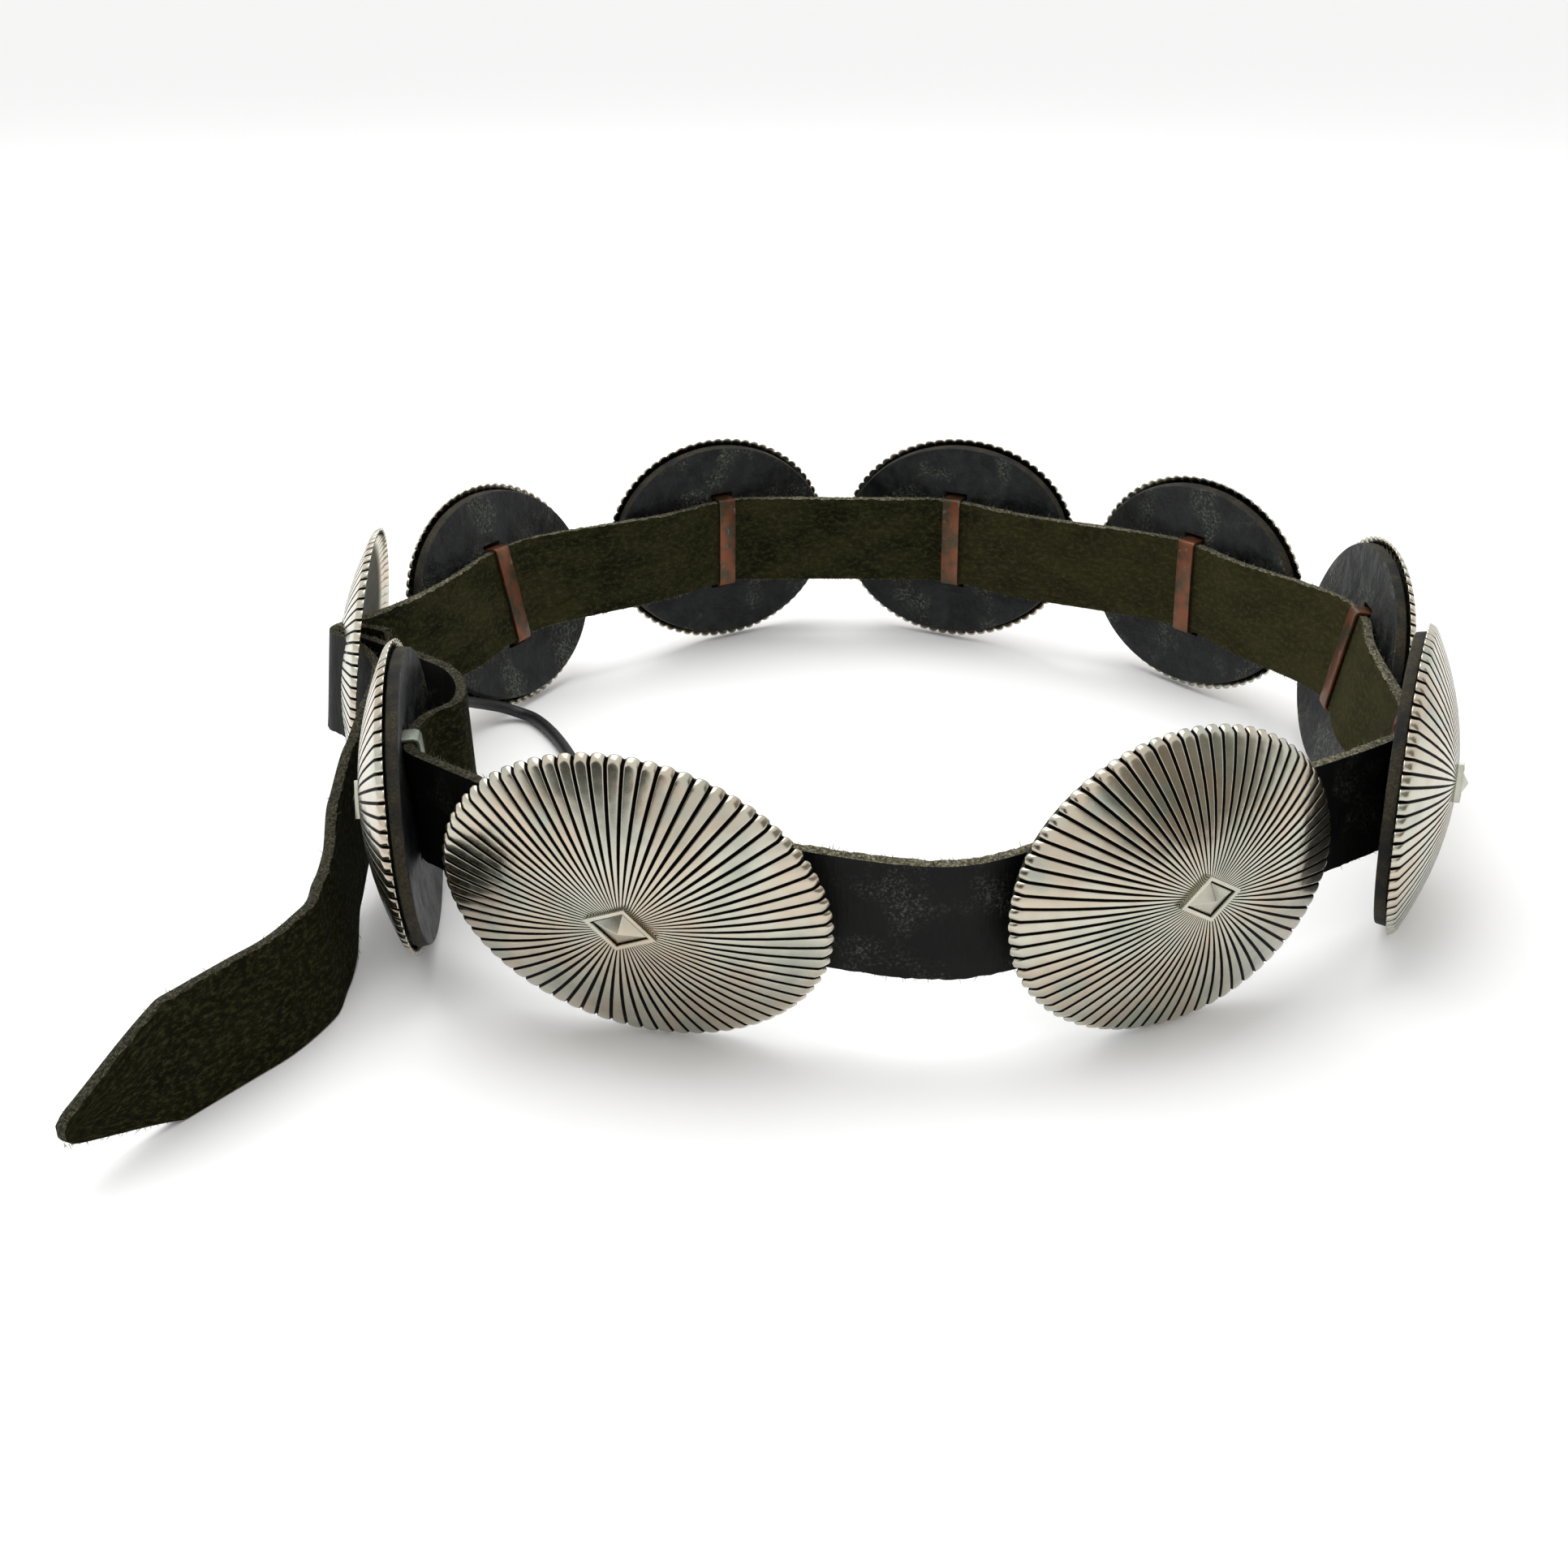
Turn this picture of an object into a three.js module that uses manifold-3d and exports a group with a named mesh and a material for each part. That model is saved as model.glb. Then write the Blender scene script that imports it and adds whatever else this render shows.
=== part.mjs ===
// A concho belt standing on its edge in an open ring: nine domed oval silver plates with leather
// backings and soldered copper loops, a slotted oval buckle plate with a bar, one long leather strap
// and a thin leather tie lace. Millimetres, +Z up, the floor at z = 0.
import * as THREE from 'three';
import { mergeVertices } from 'three/addons/utils/BufferGeometryUtils.js';
import Module from 'manifold-3d';

const wasm = await Module();
wasm.setup();

// The ring in plan, between the outermost plate centres.
const ringWidth = 303;
const ringDepth = 271;

// The silver plates.
const plateLength = 94;
const plateHeight = 75;
const plateRise = 10.6;
const buckleRise = 8.6;
const buckleLift = 2.5;
const silverGauge = 1.2;
const fluteCount = 72;
const scallopDepth = 1.1;
const grooveDepth = 0.8;
const bezelLength = 17;
const bezelHeight = 11.5;
const bezelFrame = 1.4;
const bezelRise = 1.8;
const pyramidRise = 3.2;

// The leather.
const strapWidth = 30.7;
const strapThickness = 2.8;
const tipWidth = 5;
const tipLength = 29;
const backingThickness = 3.2;
const backingSetback = 2.2;
const backingDish = 2.6;
const dishShare = 0.46;
const laceDiameter = 3.8;

// The copper loops and the buckle's bar.
const loopWidth = 6.6;
const loopGauge = 1;
const barDiameter = 2.6;
const barFromCentre = 17.6;
const barAboveRim = 4;
const slotRoom = 6;
const strapDrop = 1.5;

// Running room between pieces that touch on the real belt.
const clearance = 0.3;

const strapStep = 10;
const laceStep = 10;

// Bearings, in degrees, between which the strap's two layers lie round the buckle's bar.
const wrapBearings = { from: 230, to: 135, stops: 3 };
const foldBearings = { from: 235, to: 60, stops: 5 };

// Rings of a plate's faceted skin, as shares of the way from the middle to the rim.
const outerRings = { rim: 1, flutes: 0.74, fading: 0.4, core: 0.12 };
const innerRings = { rim: 0.97, middle: 0.72, core: 0.3 };

const bendReach = 14;
const bendShare = 0.65;
const leastBend = 14;
const backingSides = 22;
const barSides = 10;
const laceSides = 8;

const colours = {
  silver: { color: 0xb9b3a6, roughness: 0.32, metalness: 1 },
  blackLeather: { color: 0x1b1d1e, roughness: 0.7, metalness: 0 },
  strapLeather: { color: 0x2e2c1c, roughness: 0.85, metalness: 0 },
};

// Plates in the order in which the strap meets them, from the buckle round. x and y are shares of
// the ring's width and depth. Yaw 0 faces -Y and grows towards +X; pitch turns the face up; roll
// turns the oval in its own plane. Angles are in degrees.
const plateTable = [
  { name: 'concho_1', x: -0.399, y: 0.286, yaw: 242, pitch: -13, roll: 7.7 },
  { name: 'concho_2', x: -0.16, y: 0.499, yaw: 213, pitch: 1.4, roll: 14 },
  { name: 'concho_3', x: 0.127, y: 0.499, yaw: 151, pitch: 2, roll: -15 },
  { name: 'concho_4', x: 0.382, y: 0.315, yaw: 126, pitch: 3, roll: -13 },
  { name: 'concho_5', x: 0.4965, y: 0.058, yaw: 87.5, pitch: -10, roll: 2 },
  { name: 'concho_6', x: 0.461, y: -0.26, yaw: 67, pitch: 3, roll: 14 },
  { name: 'concho_7', x: 0.221, y: -0.463, yaw: 26.6, pitch: 4.8, roll: 2.9 },
  { name: 'concho_8', x: -0.195, y: -0.499, yaw: -12.2, pitch: -5.7, roll: -12.5 },
  { name: 'concho_9', x: -0.402, y: -0.296, yaw: 276.5, pitch: -3.3, roll: -10.9 },
];
const buckleRow = { name: 'buckle', x: -0.499, y: 0.059, yaw: 276, pitch: 7, roll: 4 };

// The strap's free tail, from its tip to the buckle. up is the middle's height as a share of the
// strap's width, where 0.5 stands on the floor; heading is the way of travel in plan; lean turns the
// top edge outwards.
const tailTable = [
  { x: -0.574, y: -0.7085, up: 0.46, heading: 59, lean: 0 },
  { x: -0.5254, y: -0.6188, up: 0.5, heading: 55, lean: 0 },
  { x: -0.4782, y: -0.5406, up: 0.5, heading: 54, lean: 2 },
  { x: -0.4505, y: -0.469, up: 0.5, heading: 73, lean: 4 },
  { x: -0.4505, y: -0.4207, up: 0.5, heading: 89, lean: 5 },
  { x: -0.4525, y: -0.3745, up: 0.53, heading: 97, lean: 5 },
  { x: -0.4635, y: -0.292, up: 0.66, heading: 95, lean: 5 },
  { x: -0.4645, y: -0.214, up: 0.85, heading: 90, lean: 4 },
  { x: -0.46, y: -0.155, up: 1.05, heading: 91, lean: 3 },
  { x: -0.466, y: -0.1, up: 1.2, heading: 108, lean: -5 },
];
// The slack in front, which bows out between two plates, after so many plates.
const frontBow = { x: 0.035, y: -0.5215, up: 1.15, heading: -180, lean: 4 };
const slackAfter = 7;
// The stretch between the last plate and the bar, which bows into the ring.
const sideBow = [
  { x: -0.369, y: -0.205, up: 1.25, heading: 83, lean: 2 },
  { x: -0.402, y: -0.108, up: 1.27, heading: 138, lean: 2 },
];
// The last of the strap, folded back round the bar.
const foldedEnd = { x: -0.464, y: -0.025, up: 1.3, heading: -38, lean: 0 };

// The lace, from the strap's folded end down to the floor: hand-chosen points in mm from the ring's
// middle.
const lacePoints = [
  [-138, -3, 31], [-136.8, 5, 29.5], [-135.2, 13, 27.3], [-133.7, 21, 23.8], [-132.2, 29.5, 19.2],
  [-130.2, 38, 14.4], [-127.4, 45.2, 10.6], [-123.7, 50.9, 7.4], [-119.2, 54.4, 4.8], [-114.4, 55.1, 2.8],
  [-109.8, 52.8, 2.1], [-106.2, 48.2, 2.1], [-102, 41, 2.1], [-98, 32.6, 2.1], [-93.8, 22.2, 2.1],
  [-90, 11, 2.1], [-86.8, -1, 2.1], [-83.5, -12, 2.1], [-79, -23, 2.1], [-73, -33, 2.1], [-66, -42, 2.1],
];

const degrees = Math.PI / 180;
const flatReach = loopWidth / 2 + 2 * clearance;

// How far behind the rim the strap's outer face lies where a backing's middle is pressed into its dome.
const backingReach = clearance + backingThickness + clearance - backingDish;
const loopReach = backingReach + strapThickness + clearance;
const strapBehindRim = backingReach + strapThickness / 2;

function solidFrom(geometry) {
  const bare = geometry.clone();
  for (const name of Object.keys(bare.attributes)) if (name !== 'position') bare.deleteAttribute(name);
  const merged = mergeVertices(bare, 1e-4);
  return new wasm.Manifold(new wasm.Mesh({
    numProp: 3,
    vertProperties: new Float32Array(merged.attributes.position.array),
    triVerts: new Uint32Array(merged.index.array),
  }));
}

function geometryFrom(solid) {
  const mesh = solid.getMesh();
  const geometry = new THREE.BufferGeometry();
  geometry.setAttribute('position', new THREE.BufferAttribute(new Float32Array(mesh.vertProperties), 3));
  geometry.setIndex(new THREE.BufferAttribute(new Uint32Array(mesh.triVerts), 1));
  geometry.computeVertexNormals();
  return geometry;
}

function geometryOf(points, triangles) {
  const geometry = new THREE.BufferGeometry();
  geometry.setAttribute('position', new THREE.Float32BufferAttribute(points.flat(), 3));
  geometry.setIndex(triangles.flat());
  geometry.computeVertexNormals();
  return geometry;
}

function boxAt(sizes, middle) {
  return new THREE.BoxGeometry(...sizes).translate(...middle);
}

// A plate's own axes: x along the belt, y up the plate, z out of its face.
function plateAxes(row) {
  const yaw = row.yaw * degrees;
  const pitch = row.pitch * degrees;
  const face = new THREE.Vector3(
    Math.sin(yaw) * Math.cos(pitch), -Math.cos(yaw) * Math.cos(pitch), Math.sin(pitch));
  const along = new THREE.Vector3(Math.cos(yaw), Math.sin(yaw), 0);
  const up = new THREE.Vector3().crossVectors(face, along);
  return { along, up, face };
}

// The middle of a plate's rim, so high that the rolled oval just stands on the floor.
function plateMiddle(row, lift) {
  const { along, up } = plateAxes(row);
  const roll = row.roll * degrees;
  const long = along.z * Math.cos(roll) + up.z * Math.sin(roll);
  const short = -along.z * Math.sin(roll) + up.z * Math.cos(roll);
  const height = Math.hypot((plateLength / 2) * long, (plateHeight / 2) * short) + lift;
  return new THREE.Vector3(row.x * ringWidth, row.y * ringDepth, height);
}

function place(mesh, row, lift) {
  const { along, up, face } = plateAxes(row);
  mesh.quaternion.setFromRotationMatrix(new THREE.Matrix4().makeBasis(along, up, face));
  mesh.position.copy(plateMiddle(row, lift));
}

// Height of the smooth dome above the rim's underside, at a share of the way out to the rim.
function domeHeight(share, rise) {
  return rise * (1 - share * share);
}

// Joins two rings of any two counts, each starting at the same bearing, with one row of triangles.
function joinRings(triangles, outer, inner, flip) {
  const add = (a, b, c) => triangles.push(flip ? [a, c, b] : [a, b, c]);
  let i = 0;
  let j = 0;
  while (i < outer.length || j < inner.length) {
    const a = outer[i % outer.length];
    const b = inner[j % inner.length];
    if ((i + 1) / outer.length <= (j + 1) / inner.length) {
      i += 1;
      add(a, outer[i % outer.length], b);
    } else {
      j += 1;
      add(a, inner[j % inner.length], b);
    }
  }
}

// A fluted dome: scalloped rim, flutes that fade towards the middle, and an even inner face.
function plateSkin(rise) {
  const points = [];
  const triangles = [];
  const ring = (count, share, heightOf, scalloped) => {
    const indices = [];
    for (let i = 0; i < count; i += 1) {
      const angle = (i / count) * 2 * Math.PI;
      const notch = scalloped && i % 2 === 1;
      const x = (plateLength / 2 - (notch ? scallopDepth : 0)) * share * Math.cos(angle);
      const y = (plateHeight / 2 - (notch ? scallopDepth : 0)) * share * Math.sin(angle);
      indices.push(points.length);
      points.push([x, y, heightOf(share, notch)]);
    }
    return indices;
  };
  const outside = (share, notch) => domeHeight(share, rise) + silverGauge - (notch ? grooveDepth : 0);
  const inside = (share) => domeHeight(share, rise);
  const halfCount = Math.round(fluteCount / 2);
  const coreCount = Math.round(fluteCount / 6);
  const top = [
    ring(2 * fluteCount, outerRings.rim, outside, true),
    ring(halfCount, outerRings.flutes, outside, false),
    ring(halfCount, outerRings.fading, outside, false),
    ring(coreCount, outerRings.core, outside, false),
  ];
  const apex = points.push([0, 0, outside(0, false)]) - 1;
  const bottom = [
    ring(halfCount, innerRings.rim, () => 0, false),
    ring(2 * coreCount, innerRings.middle, inside, false),
    ring(coreCount, innerRings.core, inside, false),
  ];
  const root = points.push([0, 0, inside(0)]) - 1;
  for (let i = 0; i + 1 < top.length; i += 1) joinRings(triangles, top[i], top[i + 1], false);
  for (let i = 0; i + 1 < bottom.length; i += 1) joinRings(triangles, bottom[i], bottom[i + 1], true);
  const close = (indices, middle, flip) => indices.forEach((a, i) => {
    const b = indices[(i + 1) % indices.length];
    triangles.push(flip ? [b, a, middle] : [a, b, middle]);
  });
  close(top[top.length - 1], apex, false);
  close(bottom[bottom.length - 1], root, true);
  joinRings(triangles, top[0], bottom[0], true);
  return geometryOf(points, triangles);
}

// A rhombus as a closed shape, half-length a and half-height b.
function rhombus(a, b) {
  return new THREE.Shape([
    new THREE.Vector2(a, 0), new THREE.Vector2(0, b), new THREE.Vector2(-a, 0), new THREE.Vector2(0, -b)]);
}

// The diamond in the middle: a raised frame round a low four-sided pyramid.
function diamond(rise) {
  const foot = domeHeight(bezelLength / plateLength, rise);
  const top = rise + silverGauge;
  const inner = 1 - bezelFrame / (bezelHeight / 2);
  const frame = new THREE.ExtrudeGeometry(
    rhombus(bezelLength / 2, bezelHeight / 2), { depth: top + bezelRise - foot, bevelEnabled: false });
  frame.translate(0, 0, foot);
  const well = new THREE.ExtrudeGeometry(
    rhombus((bezelLength / 2) * inner, (bezelHeight / 2) * inner), { depth: bezelRise + 1, bevelEnabled: false });
  well.translate(0, 0, top);
  const stone = new THREE.ConeGeometry(bezelLength / 2, pyramidRise + bezelRise, 4).rotateX(Math.PI / 2);
  stone.scale(inner * 0.85, (inner * 0.85 * bezelHeight) / bezelLength, 1);
  stone.translate(0, 0, top - bezelRise + (pyramidRise + bezelRise) / 2);
  return solidFrom(frame).subtract(solidFrom(well)).add(solidFrom(stone));
}

// The copper strip behind a plate: a bar across the strap and two legs through the backing.
function loop(rise) {
  const inner = strapWidth / 2 + clearance;
  const cross = boxAt(
    [loopWidth, 2 * (inner + loopGauge), loopGauge], [0, 0, -loopReach - loopGauge / 2]);
  let solid = solidFrom(cross);
  for (const side of [-1, 1]) {
    const y = side * (inner + loopGauge / 2);
    const top = domeHeight(Math.abs(y) / (plateHeight / 2), rise) + silverGauge / 2;
    const leg = boxAt([loopWidth, loopGauge, top + loopReach + loopGauge / 2],
      [0, y, (top - loopReach - loopGauge / 2) / 2]);
    solid = solid.add(solidFrom(leg));
  }
  return solid;
}

function makeConcho(row, skin, ornament) {
  const roll = row.roll;
  const silver = skin.add(ornament).rotate([0, 0, roll]);
  const solid = silver.add(loop(plateRise));
  const mesh = new THREE.Mesh(geometryFrom(solid), new THREE.MeshStandardMaterial(colours.silver));
  mesh.name = row.name;
  place(mesh, row, 0);
  return mesh;
}

// The oval leather behind a plate: its middle is pressed up into the dome, and it has a slot for each leg
// of the loop.
function makeBacking(row) {
  const points = [];
  const triangles = [];
  const ring = (share, height) => {
    const indices = [];
    for (let i = 0; i < backingSides; i += 1) {
      const angle = (i / backingSides) * 2 * Math.PI;
      indices.push(points.length);
      points.push([
        (plateLength / 2 - backingSetback) * share * Math.cos(angle),
        (plateHeight / 2 - backingSetback) * share * Math.sin(angle), height]);
    }
    return indices;
  };
  const under = -clearance - backingThickness;
  const rings = [
    ring(dishShare, backingDish - clearance), ring(1, -clearance), ring(1, under), ring(dishShare, backingDish + under)];
  for (let i = 0; i + 1 < rings.length; i += 1) joinRings(triangles, rings[i + 1], rings[i], false);
  const first = rings[0];
  const last = rings[rings.length - 1];
  for (let i = 1; i + 1 < backingSides; i += 1) {
    triangles.push([first[0], first[i], first[i + 1]], [last[0], last[i + 1], last[i]]);
  }
  const oval = geometryOf(points, triangles).rotateZ(row.roll * degrees);
  let solid = solidFrom(oval);
  for (const side of [-1, 1]) {
    const y = side * (strapWidth / 2 + clearance + loopGauge / 2);
    const slot = boxAt([loopWidth + 2 * clearance, loopGauge + 2 * clearance, 4 * backingThickness],
      [0, y, -backingThickness / 2]);
    solid = solid.subtract(solidFrom(slot));
  }
  const mesh = new THREE.Mesh(geometryFrom(solid), new THREE.MeshStandardMaterial(colours.blackLeather));
  mesh.name = row.name.replace('concho', 'backing');
  place(mesh, row, 0);
  return mesh;
}

// How far the strap's middle line runs from the bar's axis, for the layer next to the bar and the one
// that lies over it.
const foldRadius = barDiameter / 2 + clearance + strapThickness / 2;
const wrapRadius = foldRadius + strapThickness + clearance;

// The buckle: a domed plate with an upright slot near one end and a round bar across the slot.
function makeBuckle() {
  const slotLength = 2 * (wrapRadius + strapThickness / 2 + 2 * clearance);
  const slotHeight = strapWidth + 8 * clearance;
  const slotMiddle = [barFromCentre + slotRoom / 2, -strapDrop, 0];
  const slot = boxAt([slotLength + slotRoom, slotHeight, 4 * plateRise], slotMiddle);
  const reach = slotHeight / 2 + barDiameter;
  const bar = new THREE.CylinderGeometry(barDiameter / 2, barDiameter / 2, 2 * reach, barSides);
  bar.translate(barFromCentre, -strapDrop, barAboveRim);
  const silver = solidFrom(plateSkin(buckleRise)).add(diamond(buckleRise)).rotate([0, 0, buckleRow.roll]);
  const solid = silver.subtract(solidFrom(slot)).add(solidFrom(bar));
  const mesh = new THREE.Mesh(geometryFrom(solid), new THREE.MeshStandardMaterial(colours.silver));
  mesh.name = buckleRow.name;
  place(mesh, buckleRow, buckleLift);
  return mesh;
}

// The strap's middle line is a chain of stops, each with a place, a heading in plan and a tilt: how
// far its width leans in plan for each millimetre of height.
function tableStop(row) {
  const heading = row.heading * degrees;
  const lean = Math.tan(row.lean * degrees);
  return {
    place: new THREE.Vector3(row.x * ringWidth, row.y * ringDepth, row.up * strapWidth),
    heading,
    tilt: new THREE.Vector3(-Math.sin(heading), Math.cos(heading), 0).multiplyScalar(lean),
  };
}

function plateTilt(row) {
  const { up } = plateAxes(row);
  return new THREE.Vector3(up.x / up.z, up.y / up.z, 0);
}

// The middle of the strap where it passes behind a plate.
function strapAtPlate(row) {
  return plateMiddle(row, 0).addScaledVector(plateAxes(row).face, -strapBehindRim);
}

// The strap at a plate: flat in the loop, and bent inwards to its neighbour on each side.
function plateStops(row, before, after) {
  const { along, face } = plateAxes(row);
  const middle = strapAtPlate(row);
  const tilt = plateTilt(row);
  const flatAt = (side) => {
    const place = middle.clone().addScaledVector(along, -side * flatReach);
    return { place, heading: (row.yaw - 180) * degrees, tilt };
  };
  const bentAt = (side, neighbour) => {
    const way = new THREE.Vector3().subVectors(neighbour, middle).setZ(0);
    const bend = Math.max(leastBend * degrees, Math.atan2(-way.dot(face), -side * way.dot(along)));
    const place = middle.clone().addScaledVector(along, -side * bendReach);
    place.addScaledVector(face, -bendShare * (bendReach - flatReach) * Math.tan(bend));
    return { place, heading: (row.yaw - 180) * degrees - side * bend, tilt };
  };
  return [bentAt(-1, before), flatAt(-1), flatAt(1), bentAt(1, after)];
}

// Stops on a circle round the bar, from one bearing to another.
function barStops(radius, from, to, count) {
  const { along, face } = plateAxes(buckleRow);
  const axis = plateMiddle(buckleRow, buckleLift);
  axis.addScaledVector(along, barFromCentre).addScaledVector(face, barAboveRim);
  axis.z -= strapDrop;
  const stops = [];
  for (let i = 0; i < count; i += 1) {
    const bearing = (from + ((to - from) * i) / (count - 1)) * degrees;
    stops.push({
      place: new THREE.Vector3(
        axis.x + radius * Math.cos(bearing), axis.y + radius * Math.sin(bearing), axis.z),
      heading: bearing - Math.PI / 2,
      tilt: plateTilt(buckleRow),
    });
  }
  return stops;
}

function hermite(a, b, from, to, share) {
  const s2 = share * share;
  const s3 = s2 * share;
  return (2 * s3 - 3 * s2 + 1) * a + (s3 - 2 * s2 + share) * from + (3 * s2 - 2 * s3) * b + (s3 - s2) * to;
}

// Sections along the strap: the middle, the way up its width and the way out of its grain side.
function strapSections(stops) {
  const sections = [];
  for (let i = 0; i + 1 < stops.length; i += 1) {
    const a = stops[i];
    const b = stops[i + 1];
    const chord = Math.hypot(b.place.x - a.place.x, b.place.y - a.place.y);
    const count = Math.max(2, Math.round(chord / strapStep));
    const last = i + 2 === stops.length;
    for (let k = 0; k < (last ? count + 1 : count); k += 1) {
      const share = k / count;
      const at = (axis, turn) => hermite(
        a.place[axis], b.place[axis], chord * turn(a.heading), chord * turn(b.heading), share);
      const ease = share * share * (3 - 2 * share);
      sections.push({
        middle: new THREE.Vector3(
          at('x', Math.cos), at('y', Math.sin), a.place.z + (b.place.z - a.place.z) * ease),
        tilt: a.tilt.clone().lerp(b.tilt, ease),
      });
    }
  }
  for (let i = 0; i < sections.length; i += 1) {
    const before = sections[Math.max(0, i - 1)].middle;
    const after = sections[Math.min(sections.length - 1, i + 1)].middle;
    const travel = new THREE.Vector3().subVectors(after, before);
    sections[i].up = sections[i].tilt.clone().setZ(1).normalize();
    sections[i].out = new THREE.Vector3().crossVectors(sections[i].up, travel).normalize();
  }
  return sections;
}

// Sweeps the strap's flat section along its stops, narrowing it to the tip.
function sweepStrap(sections) {
  const points = [];
  const triangles = [];
  let run = 0;
  sections.forEach((section, i) => {
    if (i > 0) run += section.middle.distanceTo(sections[i - 1].middle);
    const half = Math.min(strapWidth, tipWidth + ((strapWidth - tipWidth) * run) / tipLength) / 2;
    for (const [rise, side] of [[1, 1], [1, -1], [-1, -1], [-1, 1]]) {
      const corner = section.middle.clone().addScaledVector(section.up, rise * half);
      corner.addScaledVector(section.out, (side * strapThickness) / 2);
      points.push(corner.toArray());
    }
  });
  const last = 4 * (sections.length - 1);
  for (let i = 0; i < last; i += 4) {
    for (let k = 0; k < 4; k += 1) {
      const a = i + k;
      const b = i + ((k + 1) % 4);
      triangles.push([a, b, a + 4], [b, b + 4, a + 4]);
    }
  }
  triangles.push([0, 2, 1], [0, 3, 2], [last, last + 1, last + 2], [last, last + 2, last + 3]);
  return geometryOf(points, triangles);
}

function makeStrap() {
  const wrap = barStops(wrapRadius, wrapBearings.from, wrapBearings.to, wrapBearings.stops);
  const slack = sideBow.map(tableStop);
  const chain = [wrap[2].place, ...plateTable.map(strapAtPlate), slack[0].place];
  const bow = tableStop(frontBow);
  const plateRun = plateTable.flatMap((row, i) => {
    const before = i === slackAfter ? bow.place : chain[i];
    const after = i + 1 === slackAfter ? bow.place : chain[i + 2];
    return plateStops(row, before, after);
  });
  const stops = [
    ...tailTable.map(tableStop),
    ...wrap,
    ...plateRun.slice(0, 4 * slackAfter),
    bow,
    ...plateRun.slice(4 * slackAfter),
    ...slack,
    ...barStops(foldRadius, foldBearings.from, foldBearings.to, foldBearings.stops),
    tableStop(foldedEnd),
  ];
  const mesh = new THREE.Mesh(
    sweepStrap(strapSections(stops)), new THREE.MeshStandardMaterial(colours.strapLeather));
  mesh.name = 'strap';
  return mesh;
}

function makeLace() {
  const height = laceDiameter / 2 / Math.cos(Math.PI / laceSides);
  const route = new THREE.CatmullRomCurve3(lacePoints.map((point) => new THREE.Vector3(...point)));
  const section = new THREE.Shape();
  for (let i = 0; i < laceSides; i += 1) {
    const angle = ((i + 0.5) / laceSides) * 2 * Math.PI;
    const x = height * Math.cos(angle);
    const y = height * Math.sin(angle);
    if (i === 0) section.moveTo(x, y);
    else section.lineTo(x, y);
  }
  section.closePath();
  const steps = Math.round(route.getLength() / laceStep);
  const geometry = new THREE.ExtrudeGeometry(section, { steps, extrudePath: route, bevelEnabled: false });
  const mesh = new THREE.Mesh(geometry, new THREE.MeshStandardMaterial(colours.blackLeather));
  mesh.name = 'tie_lace';
  return mesh;
}

const belt = new THREE.Group();
const skin = solidFrom(plateSkin(plateRise));
const ornament = diamond(plateRise);
for (const row of plateTable) belt.add(makeConcho(row, skin, ornament), makeBacking(row));
belt.add(makeBuckle(), makeStrap());

// The origin is under the middle of the belt; the lace doesn't shift it.
const bounds = new THREE.Box3().setFromObject(belt, true);
belt.add(makeLace());
belt.position.set(-(bounds.min.x + bounds.max.x) / 2, -(bounds.min.y + bounds.max.y) / 2, -bounds.min.z);

export default belt;
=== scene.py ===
"""A concho belt standing on its edge in an open ring.

Nine domed oval plates of fluted silver ride on a long leather strap. Each has an oval leather backing
and a copper strip soldered behind it, which holds it to the strap. The strap's free tail runs through a
slotted buckle plate, and a thin lace trails from the strap's folded end. Sizes are in millimetres and
become metres where a mesh is made.
"""

from __future__ import annotations

import logging
import math
import random
from dataclasses import dataclass, field
from enum import Enum

import bmesh
import bpy
from mathutils import Matrix, Vector

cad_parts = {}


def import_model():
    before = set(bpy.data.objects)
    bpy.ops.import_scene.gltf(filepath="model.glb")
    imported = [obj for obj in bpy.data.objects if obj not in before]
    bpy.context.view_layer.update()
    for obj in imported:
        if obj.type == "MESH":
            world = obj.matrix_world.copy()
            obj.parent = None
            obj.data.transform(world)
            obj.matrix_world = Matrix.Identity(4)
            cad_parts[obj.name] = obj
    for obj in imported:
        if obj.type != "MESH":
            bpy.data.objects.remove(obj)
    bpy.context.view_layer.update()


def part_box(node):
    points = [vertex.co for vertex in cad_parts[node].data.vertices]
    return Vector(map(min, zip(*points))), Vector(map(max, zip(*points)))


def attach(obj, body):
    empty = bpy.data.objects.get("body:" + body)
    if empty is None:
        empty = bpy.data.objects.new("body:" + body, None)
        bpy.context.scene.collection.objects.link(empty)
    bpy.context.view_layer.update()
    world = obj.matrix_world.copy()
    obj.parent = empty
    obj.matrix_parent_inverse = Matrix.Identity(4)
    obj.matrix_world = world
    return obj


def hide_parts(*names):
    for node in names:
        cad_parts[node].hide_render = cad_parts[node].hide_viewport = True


log = logging.getLogger("belt")

MM = 0.001
BODY = "root"


@dataclass(frozen=True)
class PlateRow:
    """One plate's place: shares of the ring's width and depth, and its angles in degrees."""

    name: str
    x: float
    y: float
    yaw: float
    pitch: float
    roll: float
    lift: float = 0.0


@dataclass(frozen=True)
class StrapRow:
    """One listed stop of the strap: shares of the ring and of the strap's width, and angles."""

    x: float
    y: float
    up: float
    heading: float
    lean: float


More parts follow.
